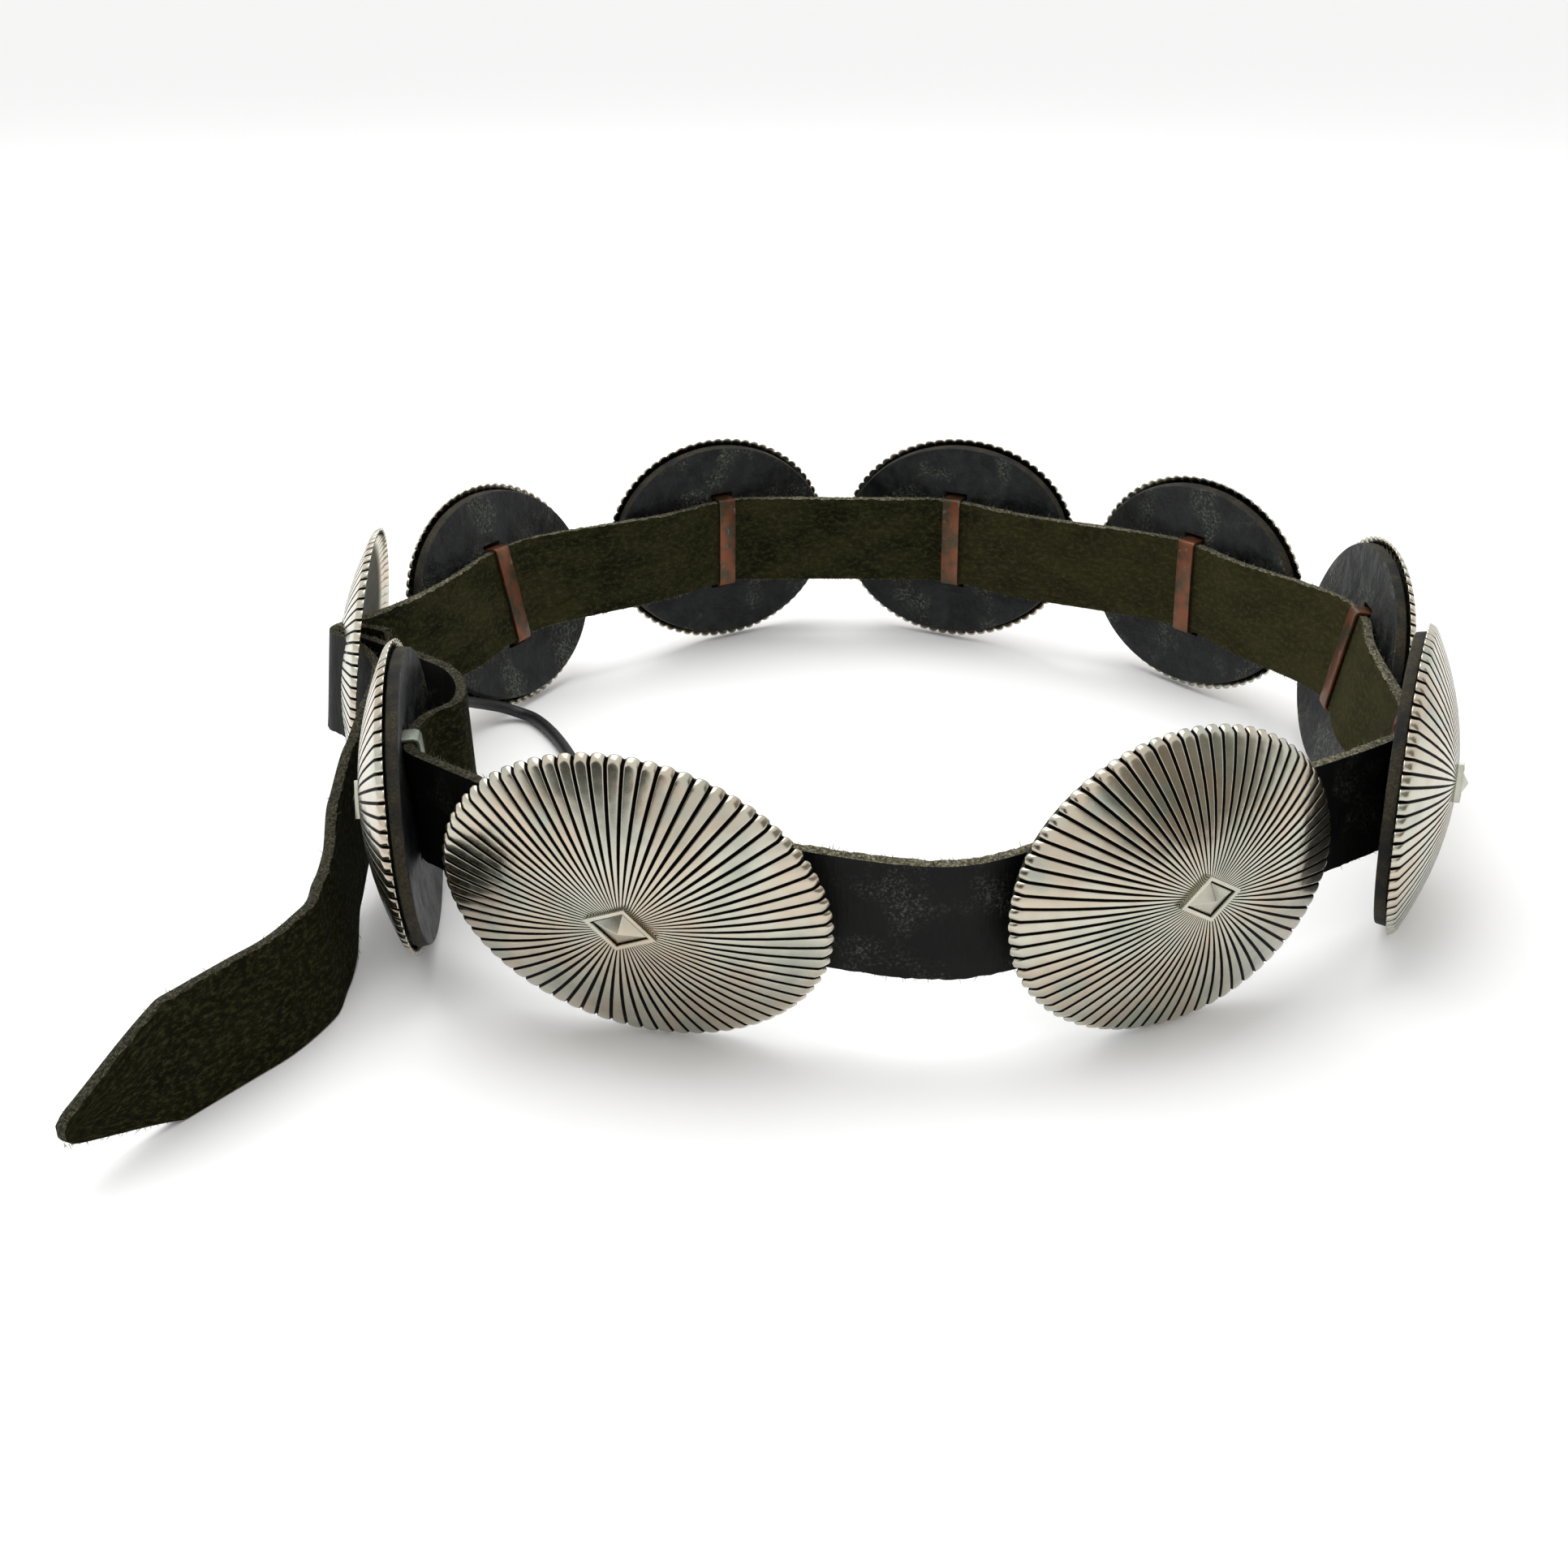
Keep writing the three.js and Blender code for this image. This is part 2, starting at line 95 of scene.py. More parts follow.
@dataclass(frozen=True)
class BeltSizes:
    """The belt's driving sizes in millimetres."""

    ring_width: float = 303.0
    ring_depth: float = 271.0
    plate_length: float = 94.0
    plate_height: float = 75.0
    plate_rise: float = 10.6
    buckle_rise: float = 8.6
    buckle_lift: float = 2.5
    silver_gauge: float = 1.2
    flute_count: int = 72
    strap_width: float = 30.7
    strap_thickness: float = 2.8
    tip_width: float = 5.0
    tip_length: float = 29.0
    backing_thickness: float = 3.2
    backing_setback: float = 2.2
    backing_dish: float = 2.6
    dish_share: float = 0.46
    lace_diameter: float = 3.8
    loop_width: float = 6.6
    loop_gauge: float = 1.0
    bar_diameter: float = 2.6
    bar_from_centre: float = 17.6
    bar_above_rim: float = 4.0
    slot_room: float = 6.0
    strap_drop: float = 1.5
    clearance: float = 0.3

    @property
    def loop_reach(self) -> float:
        """How far behind the rim the copper strip's inner face lies."""
        return 3 * self.clearance + self.backing_thickness - self.backing_dish + self.strap_thickness

    @property
    def strap_behind_rim(self) -> float:
        """How far behind the rim the strap's middle lies."""
        return 2 * self.clearance + self.backing_thickness - self.backing_dish + self.strap_thickness / 2

    @property
    def fold_radius(self) -> float:
        """The strap's middle line round the bar, for the layer next to it."""
        return self.bar_diameter / 2 + self.clearance + self.strap_thickness / 2

    @property
    def wrap_radius(self) -> float:
        """The strap's middle line round the bar, for the layer over the fold."""
        return self.fold_radius + self.strap_thickness + self.clearance


SIZES = BeltSizes()

PLATES = (
    PlateRow("concho_1", -0.399, 0.286, 242, -13, 7.7),
    PlateRow("concho_2", -0.16, 0.499, 213, 1.4, 14),
    PlateRow("concho_3", 0.127, 0.499, 151, 2, -15),
    PlateRow("concho_4", 0.382, 0.315, 126, 3, -13),
    PlateRow("concho_5", 0.4965, 0.058, 87.5, -10, 2),
    PlateRow("concho_6", 0.461, -0.26, 67, 3, 14),
    PlateRow("concho_7", 0.221, -0.463, 26.6, 4.8, 2.9),
    PlateRow("concho_8", -0.195, -0.499, -12.2, -5.7, -12.5),
    PlateRow("concho_9", -0.402, -0.296, 276.5, -3.3, -10.9),
)
BLEACHED_LOOP = "concho_9"
BUCKLE = PlateRow("buckle", -0.499, 0.059, 276, 7, 4, SIZES.buckle_lift)

TAIL = (
    StrapRow(-0.574, -0.7085, 0.46, 59, 0),
    StrapRow(-0.5254, -0.6188, 0.5, 55, 0),
    StrapRow(-0.4782, -0.5406, 0.5, 54, 2),
    StrapRow(-0.4505, -0.469, 0.5, 73, 4),
    StrapRow(-0.4505, -0.4207, 0.5, 89, 5),
    StrapRow(-0.4525, -0.3745, 0.53, 97, 5),
    StrapRow(-0.4635, -0.292, 0.66, 95, 5),
    StrapRow(-0.4645, -0.214, 0.85, 90, 4),
    StrapRow(-0.46, -0.155, 1.05, 91, 3),
    StrapRow(-0.466, -0.1, 1.2, 108, -5),
)
FRONT_BOW = StrapRow(0.035, -0.5215, 1.15, -180, 4)
SIDE_BOW = (
    StrapRow(-0.369, -0.205, 1.25, 83, 2),
    StrapRow(-0.402, -0.108, 1.27, 138, 2),
)
FOLDED_END = StrapRow(-0.464, -0.025, 1.3, -38, 0)
SLACK_AFTER = 7
FLAT_REACH = SIZES.loop_width / 2 + 2 * SIZES.clearance
BEND_REACH = 14.0
BEND_SHARE = 0.65
LEAST_BEND = 14.0

LACE_POINTS = (
    (-138, -3, 31), (-136.8, 5, 29.5), (-135.2, 13, 27.3), (-133.7, 21, 23.8), (-132.2, 29.5, 19.2),
    (-130.2, 38, 14.4), (-127.4, 45.2, 10.6), (-123.7, 50.9, 7.4), (-119.2, 54.4, 4.8), (-114.4, 55.1, 2.8),
    (-109.8, 52.8, 2.1), (-106.2, 48.2, 2.1), (-102, 41, 2.1), (-98, 32.6, 2.1), (-93.8, 22.2, 2.1),
    (-90, 11, 2.1), (-86.8, -1, 2.1), (-83.5, -12, 2.1), (-79, -23, 2.1), (-73, -33, 2.1), (-66, -42, 2.1),
)


def plate_axes(row: PlateRow) -> tuple[Vector, Vector, Vector]:
    """A plate's own axes: along the belt, up the plate and out of its face."""
    yaw, pitch = math.radians(row.yaw), math.radians(row.pitch)
    face = Vector((math.sin(yaw) * math.cos(pitch), -math.cos(yaw) * math.cos(pitch), math.sin(pitch)))
    along = Vector((math.cos(yaw), math.sin(yaw), 0.0))
    return along, face.cross(along), face


def plate_middle(row: PlateRow) -> Vector:
    """The middle of a plate's rim, so high that the rolled oval just stands on the floor."""
    along, up, _ = plate_axes(row)
    roll = math.radians(row.roll)
    long_rise = along.z * math.cos(roll) + up.z * math.sin(roll)
    short_rise = -along.z * math.sin(roll) + up.z * math.cos(roll)
    height = math.hypot(SIZES.plate_length / 2 * long_rise, SIZES.plate_height / 2 * short_rise) + row.lift
    return Vector((row.x * SIZES.ring_width, row.y * SIZES.ring_depth, height))


def frame_shift() -> Vector:
    """Where the ring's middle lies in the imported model, read from a backing's box, in millimetres."""
    low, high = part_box("backing_2")
    middle = (Vector(low) + Vector(high)) / (2 * MM)
    row = PLATES[1]
    behind = SIZES.clearance + SIZES.backing_thickness / 2
    return middle - (plate_middle(row) - plate_axes(row)[2] * behind)


def plate_matrix(row: PlateRow, shift: Vector) -> Matrix:
    """From a plate's own millimetres to the model's metres.

    Args:
        row: The plate's row.
        shift: The ring's middle in the model, in millimetres.

    Returns:
        The matrix, with the scale in it.
    """
    along, up, face = plate_axes(row)
    turn = Matrix((along, up, face)).transposed().to_4x4()
    return Matrix.Scale(MM, 4) @ Matrix.Translation(plate_middle(row) + shift) @ turn


def linear(code: str) -> tuple[float, float, float, float]:
    """A colour given as an sRGB hex value, as linear RGBA."""
    parts = [int(code[i:i + 2], 16) / 255 for i in (1, 3, 5)]
    flat = [c / 12.92 if c <= 0.04045 else ((c + 0.055) / 1.055) ** 2.4 for c in parts]
    return flat[0], flat[1], flat[2], 1.0


def add_node(tree: bpy.types.NodeTree, kind: str, settings: dict, links: dict) -> bpy.types.Node:
    """Adds a node with its settings and links.

    Args:
        tree: The node tree.
        kind: The node's type name.
        settings: Attributes, or input values where the name is an input's name or number.
        links: Input name or number to the output socket that feeds it.

    Returns:
        The new node.
    """
    node = tree.nodes.new(kind)
    for name, value in settings.items():
        if isinstance(name, str) and hasattr(node, name):
            setattr(node, name, value)
        else:
            node.inputs[name].default_value = value
    for name, socket in links.items():
        tree.links.new(socket, node.inputs[name])
    return node


def ramp(tree: bpy.types.NodeTree, source: bpy.types.NodeSocket, stops: list[tuple]) -> bpy.types.NodeSocket:
    """A colour ramp over a value; stops are (place, linear RGBA)."""
    node = tree.nodes.new("ShaderNodeValToRGB")
    tree.links.new(source, node.inputs[0])
    elements = node.color_ramp.elements
    elements[0].position, elements[0].color = stops[0]
    elements[1].position, elements[1].color = stops[-1]
    for place, colour in stops[1:-1]:
        elements.new(place).color = colour
    return node.outputs[0]


class Finish:
    """A material under way: its tree, its shader and shorthand for common patterns."""

    def __init__(self, name: str) -> None:
        """Starts a material with an empty shader."""
        self.material = bpy.data.materials.new(name)
        self.material.use_nodes = True
        self.tree = self.material.node_tree
        self.shader = self.tree.nodes["Principled BSDF"]
        self.place = add_node(self.tree, "ShaderNodeTexCoord", {}, {}).outputs["Object"]

    def noise(self, size_mm: float, detail: float = 4.0, stretch: tuple = (1, 1, 1), uv: bool = False,
              rough: float = 0.5) -> bpy.types.NodeSocket:
        """Noise whose grain is size_mm across, on Object coordinates or on the piece's own map."""
        source = self.place
        if uv:
            source = add_node(self.tree, "ShaderNodeUVMap", {"uv_map": "Run"}, {}).outputs[0]
        mapped = add_node(self.tree, "ShaderNodeMapping", {"Scale": stretch}, {"Vector": source})
        settings = {"Scale": 1 / (size_mm * MM), "Detail": detail, "Roughness": rough}
        return add_node(self.tree, "ShaderNodeTexNoise", settings, {"Vector": mapped.outputs[0]}).outputs[0]

    def cells(self, size_mm: float) -> bpy.types.NodeSocket:
        """Distance in a cell pattern whose cells are size_mm across."""
        settings = {"feature": "F1", "Scale": 1 / (size_mm * MM)}
        node = add_node(self.tree, "ShaderNodeTexVoronoi", settings, {"Vector": self.place})
        return node.outputs["Distance"]

    def level(self, source: bpy.types.NodeSocket, low: float, high: float) -> bpy.types.NodeSocket:
        """Spreads the part of a value between low and high over 0 to 1."""
        settings = {"From Min": low, "From Max": high}
        return add_node(self.tree, "ShaderNodeMapRange", settings, {"Value": source}).outputs[0]

    def mix(self, share: bpy.types.NodeSocket, first: object, second: object) -> bpy.types.NodeSocket:
        """Mixes two colours, each a socket or a linear colour, by a share."""
        node = add_node(self.tree, "ShaderNodeMix", {"data_type": "RGBA"}, {})
        self.tree.links.new(share, node.inputs[0])
        for slot, colour in ((6, first), (7, second)):
            if isinstance(colour, bpy.types.NodeSocket):
                self.tree.links.new(colour, node.inputs[slot])
            else:
                node.inputs[slot].default_value = colour
        return node.outputs[2]

    def maths(self, kind: str, first: object, second: object) -> bpy.types.NodeSocket:
        """One step of arithmetic on two values, each a socket or a number."""
        node = add_node(self.tree, "ShaderNodeMath", {"operation": kind}, {})
        for slot, value in enumerate((first, second)):
            if isinstance(value, bpy.types.NodeSocket):
                self.tree.links.new(value, node.inputs[slot])
            else:
                node.inputs[slot].default_value = value
        return node.outputs[0]

    def attribute(self, name: str) -> bpy.types.NodeSocket:
        """A value stored on the mesh."""
        return add_node(self.tree, "ShaderNodeAttribute", {"attribute_name": name}, {}).outputs["Fac"]

    def bump(self, height: bpy.types.NodeSocket, depth_mm: float,
             below: object = None) -> bpy.types.NodeSocket:
        """Relief depth_mm deep, on top of another relief if one is given."""
        links = {"Height": height}
        if below is not None:
            links["Normal"] = below
        settings = {"Strength": 1.0, "Distance": depth_mm * MM}
        return add_node(self.tree, "ShaderNodeBump", settings, links).outputs[0]

    def feed(self, **links: bpy.types.NodeSocket) -> None:
        """Feeds sockets into the shader's inputs; an underscore in a name stands for a space."""
        for name, socket in links.items():
            self.tree.links.new(socket, self.shader.inputs[name.replace("_", " ")])

    def fix(self, **values: float) -> None:
        """Sets constant inputs on the shader itself."""
        for name, value in values.items():
            self.shader.inputs[name.replace("_", " ")].default_value = value


def stamped_silver() -> bpy.types.Material:
    """Hand-worn silver, stamped in flutes: black grooves, bright lands and a bare olive-grey inner face."""
    finish = Finish("stamped_silver")
    recess = finish.attribute("recess")
    cloud = finish.noise(19, 3)
    tint = ramp(finish.tree, cloud, [
        (0.3, linear("#A8AC9F")), (0.44, linear("#C0BEAF")),
        (0.58, linear("#C1B4A1")), (0.72, linear("#A5ADA0"))])
    worn = finish.level(finish.noise(5, 6), 0.45, 0.8)
    land = finish.mix(finish.maths("MULTIPLY", worn, 0.3), tint, linear("#8B867A"))
    ragged = finish.maths("ADD", recess, finish.maths("MULTIPLY", finish.noise(1.2, 3), 0.2))
    dirt = finish.level(ragged, 0.45, 0.8)
    bare = finish.level(recess, -0.3, -0.8)
    skin = finish.mix(finish.level(finish.noise(6, 5), 0.35, 0.7), linear("#3A3A2A"), linear("#5E5D49"))
    colour = finish.mix(bare, finish.mix(dirt, land, linear("#0F0E0B")), skin)
    roughness = finish.maths("ADD", finish.maths("MULTIPLY", finish.noise(3, 5), 0.2), 0.1)
    dull = finish.maths("MULTIPLY", finish.maths("MAXIMUM", dirt, bare), 0.45)
    finish.feed(Base_Color=colour, Roughness=finish.maths("ADD", roughness, dull))
    finish.feed(Metallic=finish.maths("SUBTRACT", 1.0, finish.maths("MULTIPLY", bare, 0.6)))
    dents = finish.bump(finish.noise(9, 2), 0.22)
    finish.feed(Normal=finish.bump(finish.noise(0.6, 3), 0.006, dents))
    return finish.material


def aged_copper() -> bpy.types.Material:
    """Rolled copper strip with a brown skin, olive-grey patches and specks of verdigris."""
    finish = Finish("aged_copper")
    copper = finish.mix(finish.level(finish.noise(5, 4), 0.42, 0.62), linear("#7A4B35"), linear("#4E4535"))
    skin = finish.mix(finish.attribute("recess"), copper, linear("#93A298"))
    green = finish.level(finish.noise(2.6, 5), 0.62, 0.74)
    finish.feed(
        Base_Color=finish.mix(green, skin, linear("#4F7466")),
        Roughness=finish.maths("ADD", finish.maths("MULTIPLY", green, 0.35), 0.42),
        Metallic=finish.maths("SUBTRACT", 0.75, finish.maths("MULTIPLY", green, 0.7)),
        Normal=finish.bump(finish.noise(0.8, 4), 0.05))
    return finish.material


def backing_leather() -> bpy.types.Material:
    """Thick vegetable-tanned leather dyed black, scuffed to grey, with pores and shallow creases."""
    finish = Finish("backing_leather")
    scuff = finish.level(finish.noise(6, 8, rough=0.68), 0.44, 0.7)
    base = finish.mix(scuff, linear("#07090A"), linear("#282C2C"))
    fleck = finish.level(finish.noise(0.9, 5, rough=0.7), 0.48, 0.66)
    dust = finish.maths("MULTIPLY", fleck, finish.level(finish.noise(17, 3), 0.5, 0.62))
    colour = finish.mix(finish.maths("MULTIPLY", dust, 0.75), base, linear("#6E7364"))
    finish.feed(Base_Color=colour, Roughness=finish.maths("ADD", finish.maths("MULTIPLY", scuff, 0.25), 0.48))
    pores = finish.bump(finish.cells(0.9), 0.1)
    swells = finish.bump(finish.noise(18, 2), 2.2, pores)
    finish.feed(Normal=finish.bump(finish.noise(3.5, 7, rough=0.62), 0.75, swells))
    finish.fix(Specular_IOR_Level=0.3)
    return finish.material


def cut_edge() -> bpy.types.Material:
    """The backing's cut edge: bare brown fibres, darkened where dye ran in."""
    finish = Finish("cut_edge")
    fibre = finish.noise(0.7, 6, rough=0.7)
    bare = finish.mix(finish.level(fibre, 0.35, 0.7), linear("#14120B"), linear("#453D26"))
    finish.feed(
        Base_Color=finish.mix(finish.level(finish.noise(8, 3), 0.42, 0.62), bare, linear("#111211")),
        Normal=finish.bump(fibre, 0.35))
    finish.fix(Roughness=0.95)
    return finish.material


def strap_grain() -> bpy.types.Material:
    """The strap's smooth black face, with fine creases across it and a few rubbed white specks."""
    finish = Finish("strap_grain")
    crease = finish.noise(0.8, 5, (1, 0.16, 1), uv=True)
    speck = finish.maths(
        "MULTIPLY", finish.level(finish.noise(0.8, 6, rough=0.75), 0.5, 0.68),
        finish.level(finish.noise(13, 2), 0.54, 0.7))
    black = finish.mix(finish.level(finish.noise(12, 4), 0.4, 0.7), linear("#050605"), linear("#0F100E"))
    finish.feed(
        Base_Color=finish.mix(finish.maths("MULTIPLY", speck, 0.55), black, linear("#6C6D68")),
        Roughness=finish.maths("ADD", finish.maths("MULTIPLY", crease, 0.25), 0.42),
        Normal=finish.bump(crease, 0.14))
    finish.fix(Specular_IOR_Level=0.15)
    return finish.material


def strap_suede() -> bpy.types.Material:
    """The strap's flesh side: olive suede with a short nap, paler towards the right of the ring and darkened by
    painted shade on its front-left stretches.
    """
    finish = Finish("strap_suede")
    nap = finish.noise(1.4, 7, (0.6, 1, 1), uv=True, rough=0.8)
    cloud = finish.level(finish.noise(11, 6, (0.5, 1, 1), uv=True, rough=0.66), 0.36, 0.64)
    olive = finish.mix(cloud, linear("#15150C"), linear("#2F2E1A"))
    pale = finish.attribute("pale")
    # paler where the pale value is above 0, towards the right of the ring
    rubbed = finish.mix(finish.maths("MULTIPLY", finish.level(pale, 0, 1), 0.4), olive, linear("#3D3922"))
    # painted shade: darker towards #0C0E04 where the pale value is below 0, on the front-left stretches by the
    # tail and concho_9
    shaded = finish.mix(finish.maths("MULTIPLY", finish.level(pale, 0, -1), 0.75), rubbed, linear("#0C0E04"))
    raised = finish.maths("MULTIPLY", finish.level(nap, 0.48, 0.66), 0.6)
    finish.feed(
        Base_Color=finish.mix(raised, shaded, linear("#4C4B2F")),
        Normal=finish.bump(nap, 0.5))
    finish.fix(Roughness=0.95, Specular_IOR_Level=0.04)
    return finish.material


def strap_edge() -> bpy.types.Material:
    """The strap's cut edge: open cream and olive fibres, darkened by painted shade on the front-left stretches.
    """
    finish = Finish("strap_edge")
    fibre = finish.noise(0.8, 6, rough=0.75)
    open_fibres = ramp(finish.tree, fibre, [
        (0.34, linear("#1E1C13")), (0.5, linear("#5B5847")), (0.66, linear("#A39F8B"))])
    # painted shade: the edge darkens towards #14130A where the pale value is below 0, as the suede does
    painted_shade = finish.maths("MULTIPLY", finish.level(finish.attribute("pale"), 0, -1), 0.7)
    finish.feed(
        Base_Color=finish.mix(painted_shade, open_fibres, linear("#14130A")),
        Normal=finish.bump(fibre, 0.4))
    finish.fix(Roughness=1.0, Specular_IOR_Level=0.1)
    return finish.material


def lace_hide() -> bpy.types.Material:
    """A thin round-cut black thong with a soft sheen and small nicks."""
    finish = Finish("lace_hide")
    nicks = finish.noise(1.4, 5)
    finish.feed(
        Base_Color=finish.mix(finish.level(nicks, 0.55, 0.8), linear("#0D0D0E"), linear("#2B2B2A")),
        Normal=finish.bump(nicks, 0.15))
    finish.fix(Roughness=0.5)
    return finish.material


def studio_floor() -> bpy.types.Material:
    """A matt white sweep."""
    finish = Finish("studio_floor")
    finish.fix(Base_Color=linear("#FCFCFC"), Roughness=0.9, Specular_IOR_Level=0.1)
    return finish.material


class Leather(Enum):
    """Which of the strap's finishes a face wears."""

    GRAIN = 0
    SUEDE = 1
    EDGE = 2


@dataclass
class Finishes:
    """Every material of the belt, made once."""

    silver: bpy.types.Material = field(default_factory=stamped_silver)
    copper: bpy.types.Material = field(default_factory=aged_copper)
    backing: bpy.types.Material = field(default_factory=backing_leather)
    backing_cut: bpy.types.Material = field(default_factory=cut_edge)
    grain: bpy.types.Material = field(default_factory=strap_grain)
    suede: bpy.types.Material = field(default_factory=strap_suede)
    edge: bpy.types.Material = field(default_factory=strap_edge)
    lace: bpy.types.Material = field(default_factory=lace_hide)


def clear_selection() -> None:
    """Leaves edit mode and deselects everything."""
    if bpy.context.object and bpy.context.object.mode != "OBJECT":
        bpy.ops.object.mode_set(mode="OBJECT")
    bpy.ops.object.select_all(action="DESELECT")


def activate(piece: bpy.types.Object) -> None:
    """Makes a piece the only selected one and the active one."""
    clear_selection()
    piece.select_set(True)
    bpy.context.view_layer.objects.active = piece


def new_object(name: str, points: list, faces: list) -> bpy.types.Object:
    """A new mesh object from points in metres and faces."""
    mesh = bpy.data.meshes.new(name)
    mesh.from_pydata(points, [], faces)
    mesh.update()
    piece = bpy.data.objects.new(name, mesh)
    bpy.context.scene.collection.objects.link(piece)
    return piece


def finish_modifier(piece: bpy.types.Object, kind: str, **settings: object) -> None:
    """Adds a modifier with its settings and applies it."""
    activate(piece)
    modifier = piece.modifiers.new(kind.title(), kind)
    for name, value in settings.items():
        setattr(modifier, name, value)
    bpy.ops.object.modifier_apply(modifier=modifier.name)


def move_mesh(piece: bpy.types.Object, matrix: Matrix) -> None:
    """Puts a piece's place in its mesh and leaves the object at the origin."""
    piece.data.transform(matrix @ piece.matrix_world)
    piece.matrix_world = Matrix.Identity(4)
    piece.data.update()


def join(first: bpy.types.Object, others: list[bpy.types.Object]) -> None:
    """Joins other pieces into the first one."""
    activate(first)
    for other in others:
        other.select_set(True)
    bpy.ops.object.join()


@dataclass
class FlutedPlate:
    """A domed oval of silver with stamped flutes, a scalloped rim and a diamond in the middle."""

    rise: float
    groove_width: float = 0.7
    groove_depth: float = 0.5
    land_swell: float = 0.13
    scallop: float = 1.2
    rows: tuple = (
        0.06, 0.11, 0.17, 0.25, 0.35, 0.46, 0.58, 0.7, 0.8, 0.88, 0.93, 0.958, 0.976, 0.988, 0.996, 1.0)
    under_rows: tuple = (0.985, 0.94, 0.8, 0.55, 0.25)
    bright_rim: float = 0.9
    rim_round_from: float = 0.955
    mean_radius: float = 42.0
    full_swell_at: float = 3.2
    full_depth_at: float = 3.8
    widest_groove: float = 0.18
    groove_floor: float = 0.55
    land_shoulder: float = 0.09
    middle_depth: float = 0.2
    rim_drop: float = 0.2
    bezel_half: tuple = (8.7, 5.85)
    bezel_frame: float = 0.95
    bezel_rise: float = 1.2
    well_depth: float = 0.75
    pyramid_rise: float = 2.0
    pyramid_foot: float = 0.25
    well_wall: float = 0.12
    well_floor: float = 0.22
    pyramid_inset: float = 0.1
    frame_foot: float = 0.2
    frame_sink: float = 0.5
    frame_round: float = 0.36

    def dome(self, share: float) -> float:
        """Height of the dome's inner face at a share of the way out."""
        return self.rise * (1 - share * share)

    def land_samples(self, share: float) -> list[tuple[float, float, float]]:
        """Where one flute is sampled across, at a share of the way out.

        Args:
            share: The share of the way from the middle to the rim.

        Returns:
            Place across the flute from 0 to 1, height over the dome in millimetres, and recess from 0 to 1.
        """
        spacing = 2 * math.pi * self.mean_radius * share / SIZES.flute_count
        groove = min(self.widest_groove, self.groove_width / 2 / spacing)
        swell = self.land_swell * min(1.0, spacing / self.full_swell_at)
        depth = self.groove_depth * min(1.0, self.middle_depth + spacing / self.full_depth_at)
        first_half = [0.0, groove * self.groove_floor, groove, groove + self.land_shoulder, 0.32]
        places = first_half + [0.5] + [1 - place for place in reversed(first_half[1:])]
        samples = []
        for place in places:
            from_edge = min(place, 1 - place)
            if from_edge < groove * 0.9:
                samples.append((place, -depth * (1 - 0.3 * from_edge / groove), 1.0))
                continue
            side = abs(2 * place - 1)
            dark = 0.7 if from_edge <= groove * 1.01 else 0.0
            samples.append((place, swell * (1 - side ** 3) - 0.02, dark))
        return samples

    def skin(self) -> tuple[list, list, list]:
        """The plate's closed skin in its own millimetres.

        Returns:
            Points, faces and the recess value of each point.
        """
        points, recess, rings = [], [], []
        for share in self.rows:
            ring = []
            end = max(0.0, (share - self.rim_round_from) / (1 - self.rim_round_from))
            for flute in range(SIZES.flute_count):
                for place, height, dark in self.land_samples(share):
                    angle = 2 * math.pi * (flute + place) / SIZES.flute_count
                    side = abs(2 * place - 1)
                    setback = self.scallop * side ** 3 * min(1.0, end * 1.5)
                    round_off = (SIZES.silver_gauge + self.rim_drop) * end ** 3
                    z = self.dome(share) + SIZES.silver_gauge + height * (1 - 0.6 * end ** 3) - round_off
                    ring.append(len(points))
                    points.append((
                        (SIZES.plate_length / 2 - setback) * share * math.cos(angle),
                        (SIZES.plate_height / 2 - setback) * share * math.sin(angle), max(z, -0.02)))
                    recess.append(dark)
            rings.append(ring)
        for share in self.under_rows:
            ring = []
            for flute in range(SIZES.flute_count):
                for place, _, _ in self.land_samples(0.9):
                    angle = 2 * math.pi * (flute + place) / SIZES.flute_count
                    rim_share = max(0.0, share - self.bright_rim) / (1 - self.bright_rim)
                    setback = self.scallop * abs(2 * place - 1) ** 3 * rim_share
                    ring.append(len(points))
                    points.append((
                        (SIZES.plate_length / 2 - setback) * share * math.cos(angle),
                        (SIZES.plate_height / 2 - setback) * share * math.sin(angle),
                        self.dome(share) if share < 0.97 else 0.0))
                    recess.append(0.1 if share > self.bright_rim else -1.0)
            rings.append(ring)
        faces = []
        count = len(rings[0])
        for inner, outer in zip(rings, rings[1:]):
            for i in range(count):
                j = (i + 1) % count
                faces.append((inner[i], outer[i], outer[j], inner[j]))
        faces.append(tuple(rings[0]))
        faces.append(tuple(reversed(rings[-1])))
        return points, faces, recess

    def shell(self, name: str, finishes: Finishes) -> bpy.types.Object:
        """The plate's fluted shell, in its own millimetres, from polar rows of points."""
        points, faces, recess = self.skin()
        piece = new_object(name, points, faces)
        layer = piece.data.attributes.new("recess", "FLOAT", "POINT")
        layer.data.foreach_set("value", recess)
        piece.data.materials.append(finishes.silver)
        piece.data.shade_smooth()
        return piece

